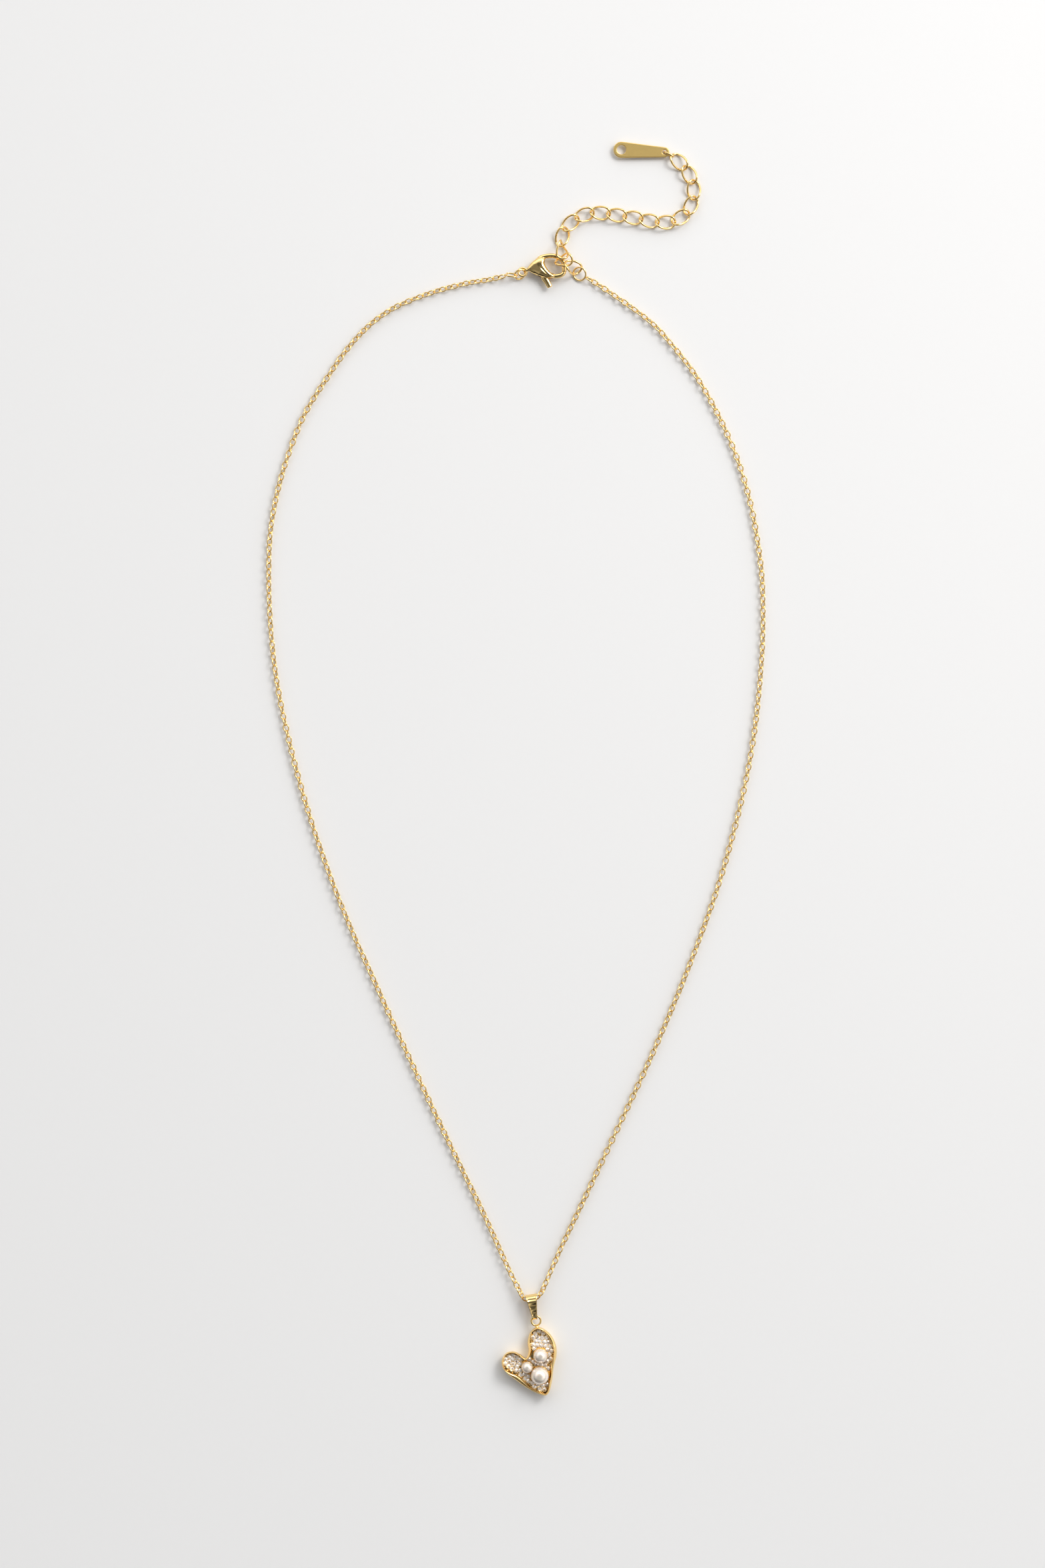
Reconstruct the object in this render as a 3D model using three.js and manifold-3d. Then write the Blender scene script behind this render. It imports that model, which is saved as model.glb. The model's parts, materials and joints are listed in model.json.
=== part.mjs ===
// Pendant necklace lying flat: a fine cable chain with a lobster clasp and an extender, and a
// heart pendant with three pearls. Millimetres, +Z up, the surface it lies on is z = 0.

import * as THREE from "three";
import { mergeVertices } from "three/addons/utils/BufferGeometryUtils.js";
import Module from "manifold-3d";

// ---- driving dimensions ----
const CHAIN_WIDTH = 1.2;          // envelope of the turned cable links
const CHAIN_GAP = 0.16;           // between one jointed length and the next
const CHAIN_STRIDE = 3;           // route points to one jointed length
const CHAIN_LEVEL = 0.66;

const EXTENDER_WIRE = 0.42;
const EXTENDER_LENGTH = 4.12;     // one link, outside
const EXTENDER_WIDTH = 2.82;
const EXTENDER_TWIST = 0.5;       // how far the wire leaves the link's plane
const EXTENDER_OVERLAP = 0.57;    // of neighbouring wire centre lines

const RING_WIRE = 0.34;
const CLASP_RING_DIAMETER = 2.4;
const JOINING_RING_DIAMETER = 2.84;
const END_LINK_LENGTH = 2.34;
const END_LINK_WIDTH = 1.54;

const CLASP_MID = 1.12;           // height of the clasp's middle plane
const CLASP_THICK = 2.1;
const HOOK_THICK = 1.1;
const CHEEK_ROUNDING = 0.34;
const HOOK_ROUNDING = 0.22;
const LEVER_ROUNDING = 0.1;
const EYE_THICK = 0.5;
const EYE_OUTER = 1.96;
const EYE_HOLE = 1.16;
const LEVER_THICK = 0.9;
const PIN_DIAMETER = 0.44;
const BOSS_DIAMETER = 1.3;
const SPRING_DIAMETER = 0.78;
const SPRING_WIRE = 0.1;
const SPRING_TURNS = 2;
const FIT = 0.03;                 // clearance round a pin or in a slot

const BAIL_LENGTH = 5.02;
const BAIL_TOP_WIDTH = 2.2;
const BAIL_FOOT_WIDTH = 0.85;
const BAIL_DEPTH = 2.7;
const BAIL_STRIP = 0.28;
const BAIL_FOOT_HOLE = 0.66;      // inside the fold that holds the pendant's loop

const LOOP_DIAMETER = 2.15;
const LOOP_WIRE = 0.38;
const SETTING_FLOOR = 0.9;        // height of the inside of the dish
const SETTING_WALL = 0.55;
const SETTING_HEIGHT = 2.0;
const SETTING_RECESS = 0.35;      // hollow in the back
const RECESS_MARGIN = 0.9;
const RIM_DIAMETER = 0.62;
const RIM_WAVE = 0.35;            // rise and fall of the rolled rim
const PAVE_THICK = 0.3;
const PAVE_MARGIN = 0.08;         // between the stones and the wall
const PEARLS = [
  { name: "large", at: [4.4, -115.0], diameter: 3.36 },
  { name: "medium", at: [4.53, -111.3], diameter: 2.72 },
  { name: "small", at: [2.01, -113.5], diameter: 2.16 },
];
const PEARL_LIFT = 0.2;           // of a pearl over the inside of the dish
const PEARL_GAP = 0.05;
const SEAT_FOOT = 0.62;           // share of the pearl's radius
const SEAT_COLLAR = 0.98;

const TAG_LENGTH = 10.65;
const TAG_WIDE = 3.05;
const TAG_NARROW = 1.9;
const TAG_THICK = 0.44;
const TAG_HOLE = 1.8;
const TAG_LINK_HOLE = 0.9;
const TAG_LINK_LENGTH = 2.24;
const TAG_LINK_WIDTH = 1.32;

// ---- places ----
const EYE = [1.15, 94.0];
const CLASP_RING_PLACE = [0.63, 93.59, 0.95, 25.42, 5.11, 43.21];
const END_LINK_PLACE = [-0.94, 93.43, 1.25, -6.32, 4.56, -55.18];
const JOINING_RING_PLACE = [11.95, 93.69, 0.75, -106.36, 23.34, 13.33];
// The three links gathered on the hook: x, y, z, then turn, pitch and roll in degrees.
const GATHERED_LINKS = [
  [10.71, 94.82, 1.53, -15.21, 34.95, -5.6],
  [9.0, 96.24, 1.66, 3.48, -35.16, -19.14],
  [8.62, 98.13, 1.63, 94.95, 19.34, 42.68],
];
// The flat links after them: where the first begins, and each one's heading in degrees.
const EXTENDER_START = [8.32, 99.23];
const EXTENDER_HEADINGS = [76, 42, 20, -6, -9, -9, -12, 1, 33, 66, 93, 120, 138];
const TAG_HEADING = 176.7;
const TAG_LINK_HEADING = 153.4;
const PENDANT_LOOP = [3.7, -104.76, BAIL_DEPTH / 2];
const BAIL_PLACE = [2.72, -99.62];
const BAIL_LEAN = 9.4;

// Route of the fine chain's left side, from the end link down to the bail: x, y.
const LEFT_ROUTE = [
  [-2.3, 93.3], [-5.5, 92.6], [-8.7, 92.1], [-12.5, 91.2], [-16.3, 90.1], [-20.1, 88.7],
  [-23.9, 86.9], [-28.0, 83.9], [-32.0, 79.6], [-35.4, 74.8], [-40.1, 67.3], [-43.2, 59.7],
  [-45.4, 52.2], [-46.7, 44.6], [-47.0, 37.0], [-46.8, 29.4], [-46.2, 21.8], [-45.1, 14.2],
  [-43.5, 6.6], [-41.6, -1.0], [-39.4, -8.6], [-36.9, -16.2], [-34.1, -23.8], [-31.0, -31.4],
  [-27.6, -39.0], [-24.2, -46.6], [-20.7, -54.2], [-17.2, -61.8], [-13.6, -69.4], [-9.9, -77.0],
  [-6.2, -84.6], [-3.2, -91.2], [-1.2, -95.6], [0.7, -99.3],
];

// Route of the right side, from the joining ring down to the bail: x, y.
const RIGHT_ROUTE = [
  [13.45, 92.95], [16.0, 91.35], [18.6, 89.6], [21.5, 87.6], [24.6, 85.3], [27.7, 82.4],
  [33.7, 74.9], [38.1, 67.3], [41.5, 59.7], [43.9, 52.2], [45.5, 44.6], [46.5, 37.0],
  [46.8, 29.4], [46.6, 21.8], [46.0, 14.2], [45.1, 6.6], [43.8, -1.0], [42.1, -8.6],
  [40.1, -16.2], [37.8, -23.8], [35.1, -31.4], [32.2, -39.0], [29.1, -46.6], [25.8, -54.2],
  [22.3, -61.8], [18.7, -69.4], [15.1, -77.0], [11.5, -84.6], [8.5, -90.9], [6.5, -95.4],
  [4.8, -99.3],
];

// The short length inside the bail, from the left side to the right: x, y.
const CENTRE_ROUTE = [[0.7, -99.3], [1.25, -100.3], [2.0, -100.72], [2.95, -100.7],
  [3.75, -100.35], [4.3, -99.9], [4.8, -99.3]];
const BAIL_LEVEL = 1.3;           // height of the chain inside the bail

// Outline of the heart, clockwise from the loop: x, y.
const HEART = [
  [3.94, -105.9], [5.2, -106.25], [6.46, -107.3], [7.3, -108.7], [7.72, -110.2], [7.62, -111.8],
  [7.15, -113.3], [6.98, -114.9], [6.77, -116.5], [6.3, -118.15], [5.45, -118.88], [3.94, -118.5],
  [2.27, -117.72], [1.0, -116.85], [-0.25, -115.9], [-1.52, -114.95], [-2.5, -113.95],
  [-2.9, -112.7], [-2.57, -111.5], [-1.7, -110.68], [-0.47, -110.52], [0.8, -111.08],
  [1.75, -111.75], [2.22, -110.5], [2.0, -108.95], [2.27, -107.5], [2.89, -106.45],
];

// Outlines on the clasp, measured from its eye.
const CLAW = [
  [0.5, 0.78], [1.25, 1.5], [2.4, 2.3], [3.9, 2.85], [5.7, 3.38], [7.1, 3.05], [8.15, 2.0],
  [8.42, 0.95], [8.18, 0.3], [7.72, 0.42], [7.72, 1.2], [7.1, 2.15], [6.0, 2.52], [4.8, 2.3],
  [4.15, 1.65], [4.35, 0.95], [4.95, 0.3], [4.9, -0.55], [4.1, -0.98], [2.7, -0.8], [1.4, -0.1],
  [0.7, 0.2],
];
const CHEEK = [
  [1.1, 0.5], [1.6, 1.35], [2.5, 2.1], [3.5, 2.46], [4.15, 2.2], [4.2, 1.5], [4.4, 0.8],
  [4.8, 0.2], [4.7, -0.5], [4.0, -0.86], [2.75, -0.66], [1.6, 0.0],
];
const LEVER = [
  [3.45, 0.35], [4.0, 0.5], [4.9, 0.12], [6.1, -0.22], [7.1, -0.15], [7.75, 0.08], [8.15, 0.08],
  [8.15, -0.28], [7.6, -0.6], [6.8, -0.88], [5.95, -1.05], [5.62, -1.6], [5.62, -2.55], [5.3, -3.02],
  [4.85, -2.8], [4.55, -2.0], [4.0, -1.2], [3.4, -0.75], [3.1, -0.2],
];
const LEVER_SLOT = { from: [2.85, -2.2], to: [5.8, 0.86] };
const LEVER_PIVOT = [3.8, -0.12];

// ---- shared shapes ----
const wasm = await Module();
wasm.setup();

function material(color, roughness, metalness) {
  return new THREE.MeshStandardMaterial({ color, roughness, metalness });
}

const GOLD = { color: 0xe3b860, roughness: 0.16, metalness: 1 };
const SATIN_GOLD = { color: 0xcfa552, roughness: 0.42, metalness: 1 };
const STEEL = { color: 0xb8bcc0, roughness: 0.3, metalness: 1 };
const PEARL = { color: 0xf3ece2, roughness: 0.25, metalness: 0 };
const STONE = { color: 0xe9e6ea, roughness: 0.05, metalness: 0 };

function named(name, geometry, look) {
  const mesh = new THREE.Mesh(geometry, material(look.color, look.roughness, look.metalness));
  mesh.name = name;
  return mesh;
}

function bare(geometry) {
  const copy = geometry.clone();
  copy.deleteAttribute("normal");
  copy.deleteAttribute("uv");
  return mergeVertices(copy, 1e-5);
}

function toSolid(geometry) {
  const merged = bare(geometry);
  return new wasm.Manifold(new wasm.Mesh({
    numProp: 3,
    vertProperties: new Float32Array(merged.attributes.position.array),
    triVerts: new Uint32Array(merged.index.array),
  }));
}

function toGeometry(solid) {
  const mesh = solid.getMesh();
  const geometry = new THREE.BufferGeometry();
  geometry.setAttribute("position", new THREE.BufferAttribute(mesh.vertProperties, 3));
  geometry.setIndex(new THREE.BufferAttribute(mesh.triVerts, 1));
  geometry.computeVertexNormals();
  return geometry;
}

function joined(first, ...others) {
  return toGeometry(others.reduce((sum, other) => sum.add(toSolid(other)), toSolid(first)));
}

function cut(first, ...others) {
  return toGeometry(others.reduce((rest, other) => rest.subtract(toSolid(other)), toSolid(first)));
}

function smoothLoop(points, count) {
  const curve = new THREE.CatmullRomCurve3(points.map(([x, y]) => new THREE.Vector3(x, y, 0)), true);
  return curve.getPoints(count).slice(0, -1).map((p) => new THREE.Vector2(p.x, p.y));
}

// Moves each point of a clockwise loop inwards by a distance, without those that would cross.
function inset(points, distance) {
  const moved = points.map((point, i) => {
    const before = points[(i + points.length - 1) % points.length];
    const after = points[(i + 1) % points.length];
    const along = after.clone().sub(before).normalize();
    return new THREE.Vector2(point.x + along.y * distance, point.y - along.x * distance);
  });
  return moved.filter((q) => points.every((p) => p.distanceTo(q) > 0.97 * distance));
}

// A plate between two heights, its edges rounded inside its outline.
function plate(points, bottom, top, rounding = 0, steps = 2) {
  const geometry = new THREE.ExtrudeGeometry(new THREE.Shape(points), {
    depth: top - bottom - 2 * rounding,
    bevelEnabled: rounding > 0,
    bevelThickness: rounding,
    bevelSize: rounding,
    bevelOffset: -rounding,
    bevelSegments: steps,
  });
  return geometry.translate(0, 0, bottom + rounding);
}

function upright(radius, bottom, top, sides, at = [0, 0]) {
  const geometry = new THREE.CylinderGeometry(radius, radius, top - bottom, sides);
  return geometry.rotateX(Math.PI / 2).translate(at[0], at[1], (bottom + top) / 2);
}

// Part of a longer curve, between two of its parameters.
class Stretch extends THREE.Curve {
  constructor(curve, from, to) {
    super();
    this.curve = curve;
    this.from = from;
    this.to = to;
  }

  getPoint(t, target = new THREE.Vector3()) {
    return this.curve.getPoint(this.from + (this.to - this.from) * t, target);
  }
}

function rod(curve, radius, steps, corners) {
  const section = new THREE.Shape(smoothCircle(radius, corners));
  return new THREE.ExtrudeGeometry(section, { steps, extrudePath: curve });
}

function smoothCircle(radius, corners) {
  return Array.from({ length: corners }, (_, i) => {
    const turn = (2 * Math.PI * i) / corners;
    return new THREE.Vector2(radius * Math.cos(turn), radius * Math.sin(turn));
  });
}

// An oval wire link that can twist out of its plane, or a stadium with straight sides.
class LinkCurve extends THREE.Curve {
  constructor(length, width, twist) {
    super();
    this.length = length;
    this.width = width;
    this.twist = twist;
  }

  getPoint(t, target = new THREE.Vector3()) {
    const turn = 2 * Math.PI * t;
    const x = (this.length / 2) * Math.cos(turn);
    const y = (this.width / 2) * Math.sin(turn);
    return target.set(x, y, this.twist * Math.sin(2 * turn));
  }
}

class StadiumCurve extends THREE.Curve {
  constructor(length, width) {
    super();
    this.radius = width / 2;
    this.half = (length - width) / 2;
  }

  getPoint(t, target = new THREE.Vector3()) {
    const turn = 2 * Math.PI * t;
    const shift = this.half * Math.sign(Math.round(Math.cos(turn) * 1e6));
    return target.set(shift + this.radius * Math.cos(turn), this.radius * Math.sin(turn), 0);
  }
}

function wireLoop(curve, wire, steps, corners = 6) {
  return new THREE.TubeGeometry(curve, steps, wire / 2, corners, true);
}

// Puts a mesh at x, y, z and turns it by heading, pitch and roll in degrees.
function put(mesh, [x, y, z, heading = 0, pitch = 0, roll = 0]) {
  const angles = [roll, pitch, heading].map(THREE.MathUtils.degToRad);
  mesh.position.set(x, y, z);
  mesh.rotation.set(...angles, "ZYX");
  return mesh;
}

// ---- clasp ----
function fromEye(points) {
  return points.map(([x, y]) => [x + EYE[0], y + EYE[1]]);
}

function clasp() {
  const half = (thick) => [CLASP_MID - thick / 2, CLASP_MID + thick / 2];
  const pivot = fromEye([LEVER_PIVOT])[0];
  const claw = plate(smoothLoop(fromEye(CLAW), 54), ...half(HOOK_THICK), HOOK_ROUNDING);
  const cheeks = plate(smoothLoop(fromEye(CHEEK), 30), ...half(CLASP_THICK), CHEEK_ROUNDING);
  const eye = upright(EYE_OUTER / 2, ...half(EYE_THICK), 18, EYE);
  const eyeHole = upright(EYE_HOLE / 2, 0, 2 * CLASP_MID, 18, EYE);
  const slotThick = LEVER_THICK + 2 * FIT;
  const [slotFrom, slotTo] = fromEye([LEVER_SLOT.from, LEVER_SLOT.to]);
  const slot = new THREE.BoxGeometry(slotTo[0] - slotFrom[0], slotTo[1] - slotFrom[1], slotThick);
  slot.translate((slotFrom[0] + slotTo[0]) / 2, (slotFrom[1] + slotTo[1]) / 2, CLASP_MID);
  const pinBore = upright(PIN_DIAMETER / 2 + FIT, -1, 3, 12, pivot);
  const body = cut(joined(claw, cheeks, eye), eyeHole, slot, pinBore);

  const recess = upright(SPRING_DIAMETER / 2 + 2 * FIT, CLASP_MID, CLASP_MID + 1, 16, pivot);
  const boss = upright(BOSS_DIAMETER / 2, ...half(LEVER_THICK), 16, pivot);
  const arm = plate(smoothLoop(fromEye(LEVER), 44), ...half(LEVER_THICK), LEVER_ROUNDING);
  const lever = cut(joined(arm, boss), recess, upright(PIN_DIAMETER / 2 + 2 * FIT, -1, 3, 12, pivot));

  const pinHalf = CLASP_THICK / 2 - 0.08;
  const pin = upright(PIN_DIAMETER / 2, CLASP_MID - pinHalf, CLASP_MID + pinHalf, 12, pivot);

  const coilRadius = (SPRING_DIAMETER - SPRING_WIRE) / 2;
  const coilStart = CLASP_MID + SPRING_WIRE;
  const coilPitch = SPRING_WIRE * 1.3;
  const coilPoints = Array.from({ length: SPRING_TURNS * 10 + 1 }, (_, i) => {
    const turn = (2 * Math.PI * i) / 10;
    const z = coilStart + (coilPitch * i) / 10;
    return new THREE.Vector3(pivot[0] + coilRadius * Math.cos(turn),
      pivot[1] + coilRadius * Math.sin(turn), z);
  });
  const spring = rod(new THREE.CatmullRomCurve3(coilPoints), SPRING_WIRE / 2, SPRING_TURNS * 12, 5);

  return [
    named("clasp_body", body, GOLD),
    named("clasp_lever", lever, GOLD),
    named("clasp_pin", pin, GOLD),
    named("clasp_spring", spring, STEEL),
  ];
}

// ---- rings and links ----
function joiners() {
  const ring = (diameter) => wireLoop(
    new LinkCurve(diameter - RING_WIRE, diameter - RING_WIRE, 0), RING_WIRE, 18);
  const endCurve = new StadiumCurve(END_LINK_LENGTH - RING_WIRE, END_LINK_WIDTH - RING_WIRE);
  return [
    put(named("clasp_ring", ring(CLASP_RING_DIAMETER), GOLD), CLASP_RING_PLACE),
    put(named("end_link", wireLoop(endCurve, RING_WIRE, 18), GOLD), END_LINK_PLACE),
    put(named("joining_ring", ring(JOINING_RING_DIAMETER), GOLD), JOINING_RING_PLACE),
  ];
}

function extender() {
  const length = EXTENDER_LENGTH - EXTENDER_WIRE;
  const curve = new LinkCurve(length, EXTENDER_WIDTH - EXTENDER_WIRE, EXTENDER_TWIST);
  const link = (i) => named(`extender_link_${String(i).padStart(2, "0")}`,
    wireLoop(curve, EXTENDER_WIRE, 16), GOLD);
  const links = GATHERED_LINKS.map((place, i) => put(link(i + 1), place));
  const pitch = length - EXTENDER_OVERLAP;
  const level = EXTENDER_TWIST + EXTENDER_WIRE / 2 + 0.03;
  let [x, y] = EXTENDER_START;
  EXTENDER_HEADINGS.forEach((heading, i) => {
    const turn = THREE.MathUtils.degToRad(heading);
    const step = [(pitch / 2) * Math.cos(turn), (pitch / 2) * Math.sin(turn)];
    const place = [x + step[0], y + step[1], level, heading];
    links.push(put(link(GATHERED_LINKS.length + i + 1), place));
    x += 2 * step[0];
    y += 2 * step[1];
  });
  return links.concat(tag(x, y, level, EXTENDER_HEADINGS.at(-1)));
}

// The tag hangs on a small link through the last extender link.
function tag(x, y, level, lastHeading) {
  const last = THREE.MathUtils.degToRad(lastHeading);
  const along = THREE.MathUtils.degToRad(TAG_LINK_HEADING);
  const linkCurve = new StadiumCurve(TAG_LINK_LENGTH - RING_WIRE, TAG_LINK_WIDTH - RING_WIRE);
  const nearEnd = EXTENDER_OVERLAP / 2 - (EXTENDER_WIRE + RING_WIRE) / 2 - FIT;
  const start = [x + nearEnd * Math.cos(last), y + nearEnd * Math.sin(last)];
  const halfLink = (TAG_LINK_LENGTH - RING_WIRE) / 2;
  const linkLevel = TAG_LINK_WIDTH / 2 + 0.02;
  const middle = [start[0] + halfLink * Math.cos(along), start[1] + halfLink * Math.sin(along)];
  const link = put(named("tag_link", wireLoop(linkCurve, RING_WIRE, 18), GOLD),
    [middle[0], middle[1], linkLevel, TAG_LINK_HEADING, 0, 90]);

  const far = TAG_LENGTH - TAG_WIDE / 2 - TAG_NARROW / 2;
  const lean = Math.asin((TAG_WIDE - TAG_NARROW) / 2 / far);
  const shape = new THREE.Shape();
  shape.absarc(0, 0, TAG_NARROW / 2, Math.PI / 2 + lean, -Math.PI / 2 - lean, false);
  shape.absarc(far, 0, TAG_WIDE / 2, -Math.PI / 2 - lean, Math.PI / 2 + lean, false);
  const outline = shape.getPoints(8);
  const blank = plate(outline, -TAG_THICK / 2, TAG_THICK / 2, 0.08, 1);
  const holes = [upright(TAG_LINK_HOLE / 2, -1, 1, 16), upright(TAG_HOLE / 2, -1, 1, 20, [far, 0])];
  const end = [start[0] + 2 * halfLink * Math.cos(along), start[1] + 2 * halfLink * Math.sin(along)];
  const bar = put(named("extender_tag", cut(blank, ...holes), SATIN_GOLD),
    [end[0], end[1], linkLevel, TAG_HEADING]);
  return [link, bar];
}

// ---- fine chain ----
// The chain rises to the bail over its last four points.
function raised(points) {
  const rise = [0.05, 0.25, 0.6, 1];
  return points.map(([x, y], i) => {
    const share = rise[i - points.length + rise.length] ?? 0;
    return new THREE.Vector3(x, y, CHAIN_LEVEL + (BAIL_LEVEL - CHAIN_LEVEL) * share);
  });
}

function chainSide(side, points) {
  const route = new THREE.CatmullRomCurve3(raised(points));
  const spans = points.length - 1;
  const pieces = [];
  for (let first = 0; first < spans; first += CHAIN_STRIDE) {
    const last = Math.min(first + CHAIN_STRIDE, spans);
    const whole = new Stretch(route, first / spans, last / spans);
    const trim = CHAIN_GAP / 2 / whole.getLength();
    const shortened = new Stretch(whole, trim, 1 - trim);
    const name = `chain_${side}_${String(pieces.length + 1).padStart(2, "0")}`;
    pieces.push(named(name, rod(shortened, CHAIN_WIDTH / 2, 5, 8), GOLD));
  }
  return pieces;
}

function chainCentre() {
  const points = CENTRE_ROUTE.map(([x, y]) => new THREE.Vector3(x, y, BAIL_LEVEL));
  const whole = new THREE.CatmullRomCurve3(points);
  const trim = (CHAIN_GAP * 1.5) / whole.getLength();
  const shortened = new Stretch(whole, trim, 1 - trim);
  return named("chain_centre", rod(shortened, CHAIN_WIDTH * 0.33, 10, 8), GOLD);
}

// ---- pendant ----
function bail() {
  const head = BAIL_DEPTH / 2;
  const foot = BAIL_FOOT_HOLE / 2 + BAIL_STRIP;
  const teardrop = (shrink) => {
    const span = BAIL_LENGTH - head - foot;
    const lean = Math.asin((head - foot) / span);
    const shape = new THREE.Shape();
    shape.absarc(head, 0, head - shrink, Math.PI / 2 - lean, 1.5 * Math.PI + lean, false);
    shape.absarc(head + span, 0, foot - shrink, -Math.PI / 2 + lean, Math.PI / 2 - lean, false);
    return shape.getPoints(10);
  };
  const widest = BAIL_TOP_WIDTH + 1;
  const strip = cut(plate(teardrop(0), 0, widest), plate(teardrop(BAIL_STRIP), -1, widest + 1));
  strip.translate(0, 0, -widest / 2).rotateX(Math.PI / 2);
  const taper = plate([
    new THREE.Vector2(-0.1, -BAIL_TOP_WIDTH / 2),
    new THREE.Vector2(BAIL_LENGTH + 0.1, -BAIL_FOOT_WIDTH / 2),
    new THREE.Vector2(BAIL_LENGTH + 0.1, BAIL_FOOT_WIDTH / 2),
    new THREE.Vector2(-0.1, BAIL_TOP_WIDTH / 2),
  ], -BAIL_DEPTH, BAIL_DEPTH);
  const geometry = toGeometry(toSolid(strip).intersect(toSolid(taper)));
  const mesh = named("bail", geometry, GOLD);
  return put(mesh, [BAIL_PLACE[0], BAIL_PLACE[1], head + 0.01, BAIL_LEAN - 90]);
}

function setting() {
  const outline = smoothLoop(HEART, 72);
  const wall = plate(outline, 0, SETTING_HEIGHT, 0.3, 1);
  const inside = plate(inset(outline, SETTING_WALL), SETTING_FLOOR, SETTING_HEIGHT + 2);
  const recess = plate(inset(outline, RECESS_MARGIN), -1, SETTING_RECESS);
  const rimPoints = inset(outline, RIM_DIAMETER / 2).filter((_, i) => i % 2 === 0);
  const waved = rimPoints.map((p, i) => {
    const wave = Math.sin((i / rimPoints.length) * 6 * Math.PI);
    return new THREE.Vector3(p.x, p.y, SETTING_HEIGHT + RIM_WAVE * (0.3 + 0.7 * wave));
  });
  const rim = wireLoop(new THREE.CatmullRomCurve3(waved, true), RIM_DIAMETER, 48, 6);
  const dish = cut(toGeometry(toSolid(wall).add(toSolid(rim))), inside, recess);
  return named("heart_setting", dish, GOLD);
}

function pave() {
  const bottom = SETTING_FLOOR + FIT;
  const outline = inset(smoothLoop(HEART, 44), SETTING_WALL + PAVE_MARGIN);
  const holes = PEARLS.map((pearl) => upright(
    (SEAT_FOOT * pearl.diameter) / 2 + 2 * FIT, 0, 3, 16, pearl.at));
  return named("stone_pave", cut(plate(outline, bottom, bottom + PAVE_THICK), ...holes), STONE);
}

function pearlSet(pearl) {
  const radius = pearl.diameter / 2;
  const middle = SETTING_FLOOR + PEARL_LIFT + radius;
  const ball = new THREE.SphereGeometry(radius, 16, 10).rotateX(Math.PI / 2);
  ball.translate(pearl.at[0], pearl.at[1], middle);

  const cup = radius + PEARL_GAP;
  const profile = [
    new THREE.Vector2(0, SETTING_FLOOR + FIT - middle),
    new THREE.Vector2(SEAT_FOOT * radius, SETTING_FLOOR + FIT - middle),
    new THREE.Vector2(SEAT_FOOT * radius, -0.86 * radius),
    new THREE.Vector2(SEAT_COLLAR * radius, -0.64 * radius),
    new THREE.Vector2(SEAT_COLLAR * radius, -0.5 * cup),
  ];
  for (let step = 0; step <= 5; step += 1) {
    const angle = THREE.MathUtils.degToRad(-30 - 12 * step);
    profile.push(new THREE.Vector2(step === 5 ? 0 : cup * Math.cos(angle), cup * Math.sin(angle)));
  }
  const seat = new THREE.LatheGeometry(profile, 16).rotateX(Math.PI / 2);
  seat.translate(pearl.at[0], pearl.at[1], middle);
  return [
    named(`pearl_${pearl.name}`, ball, PEARL),
    named(`pearl_seat_${pearl.name}`, seat, GOLD),
  ];
}

function pendant() {
  const across = LOOP_DIAMETER - LOOP_WIRE;
  const loop = wireLoop(new LinkCurve(across, across, 0), LOOP_WIRE, 20, 8);
  return [
    setting(),
    pave(),
    ...PEARLS.flatMap(pearlSet),
    put(named("pendant_loop", loop, GOLD), PENDANT_LOOP),
  ];
}

// ---- necklace ----
const necklace = new THREE.Group();
necklace.add(
  ...clasp(),
  ...joiners(),
  ...chainSide("left", LEFT_ROUTE),
  chainCentre(),
  ...chainSide("right", RIGHT_ROUTE),
  ...extender(),
  bail(),
  ...pendant(),
);

export default necklace;
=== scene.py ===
import json
import math
import random

import bpy
from mathutils import Matrix, Vector


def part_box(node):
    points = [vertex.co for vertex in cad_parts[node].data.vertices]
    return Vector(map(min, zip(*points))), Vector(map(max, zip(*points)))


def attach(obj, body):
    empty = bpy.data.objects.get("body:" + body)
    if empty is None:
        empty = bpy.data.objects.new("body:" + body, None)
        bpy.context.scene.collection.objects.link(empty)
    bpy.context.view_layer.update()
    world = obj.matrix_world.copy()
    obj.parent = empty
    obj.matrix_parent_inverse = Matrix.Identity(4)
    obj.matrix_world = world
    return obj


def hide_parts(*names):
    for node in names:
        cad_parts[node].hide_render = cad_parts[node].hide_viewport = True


bl_info = {
    "name": "Pearl heart necklace",
    "version": (1, 0, 0),
    "blender": (4, 5, 0),
    "location": "View3D > Sidebar > Necklace",
    "description": "Makes a fine chain necklace with a clasp, an extender and a pearl heart pendant",
    "category": "Object",
}

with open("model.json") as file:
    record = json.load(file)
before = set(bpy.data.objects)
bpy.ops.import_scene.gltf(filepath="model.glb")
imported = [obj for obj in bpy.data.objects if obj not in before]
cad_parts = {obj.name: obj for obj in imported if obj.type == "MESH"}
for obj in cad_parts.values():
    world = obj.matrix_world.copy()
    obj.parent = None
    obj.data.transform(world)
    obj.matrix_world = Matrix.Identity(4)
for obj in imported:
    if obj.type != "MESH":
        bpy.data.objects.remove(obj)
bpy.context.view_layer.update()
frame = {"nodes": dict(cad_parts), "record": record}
MM = 0.001

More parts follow.
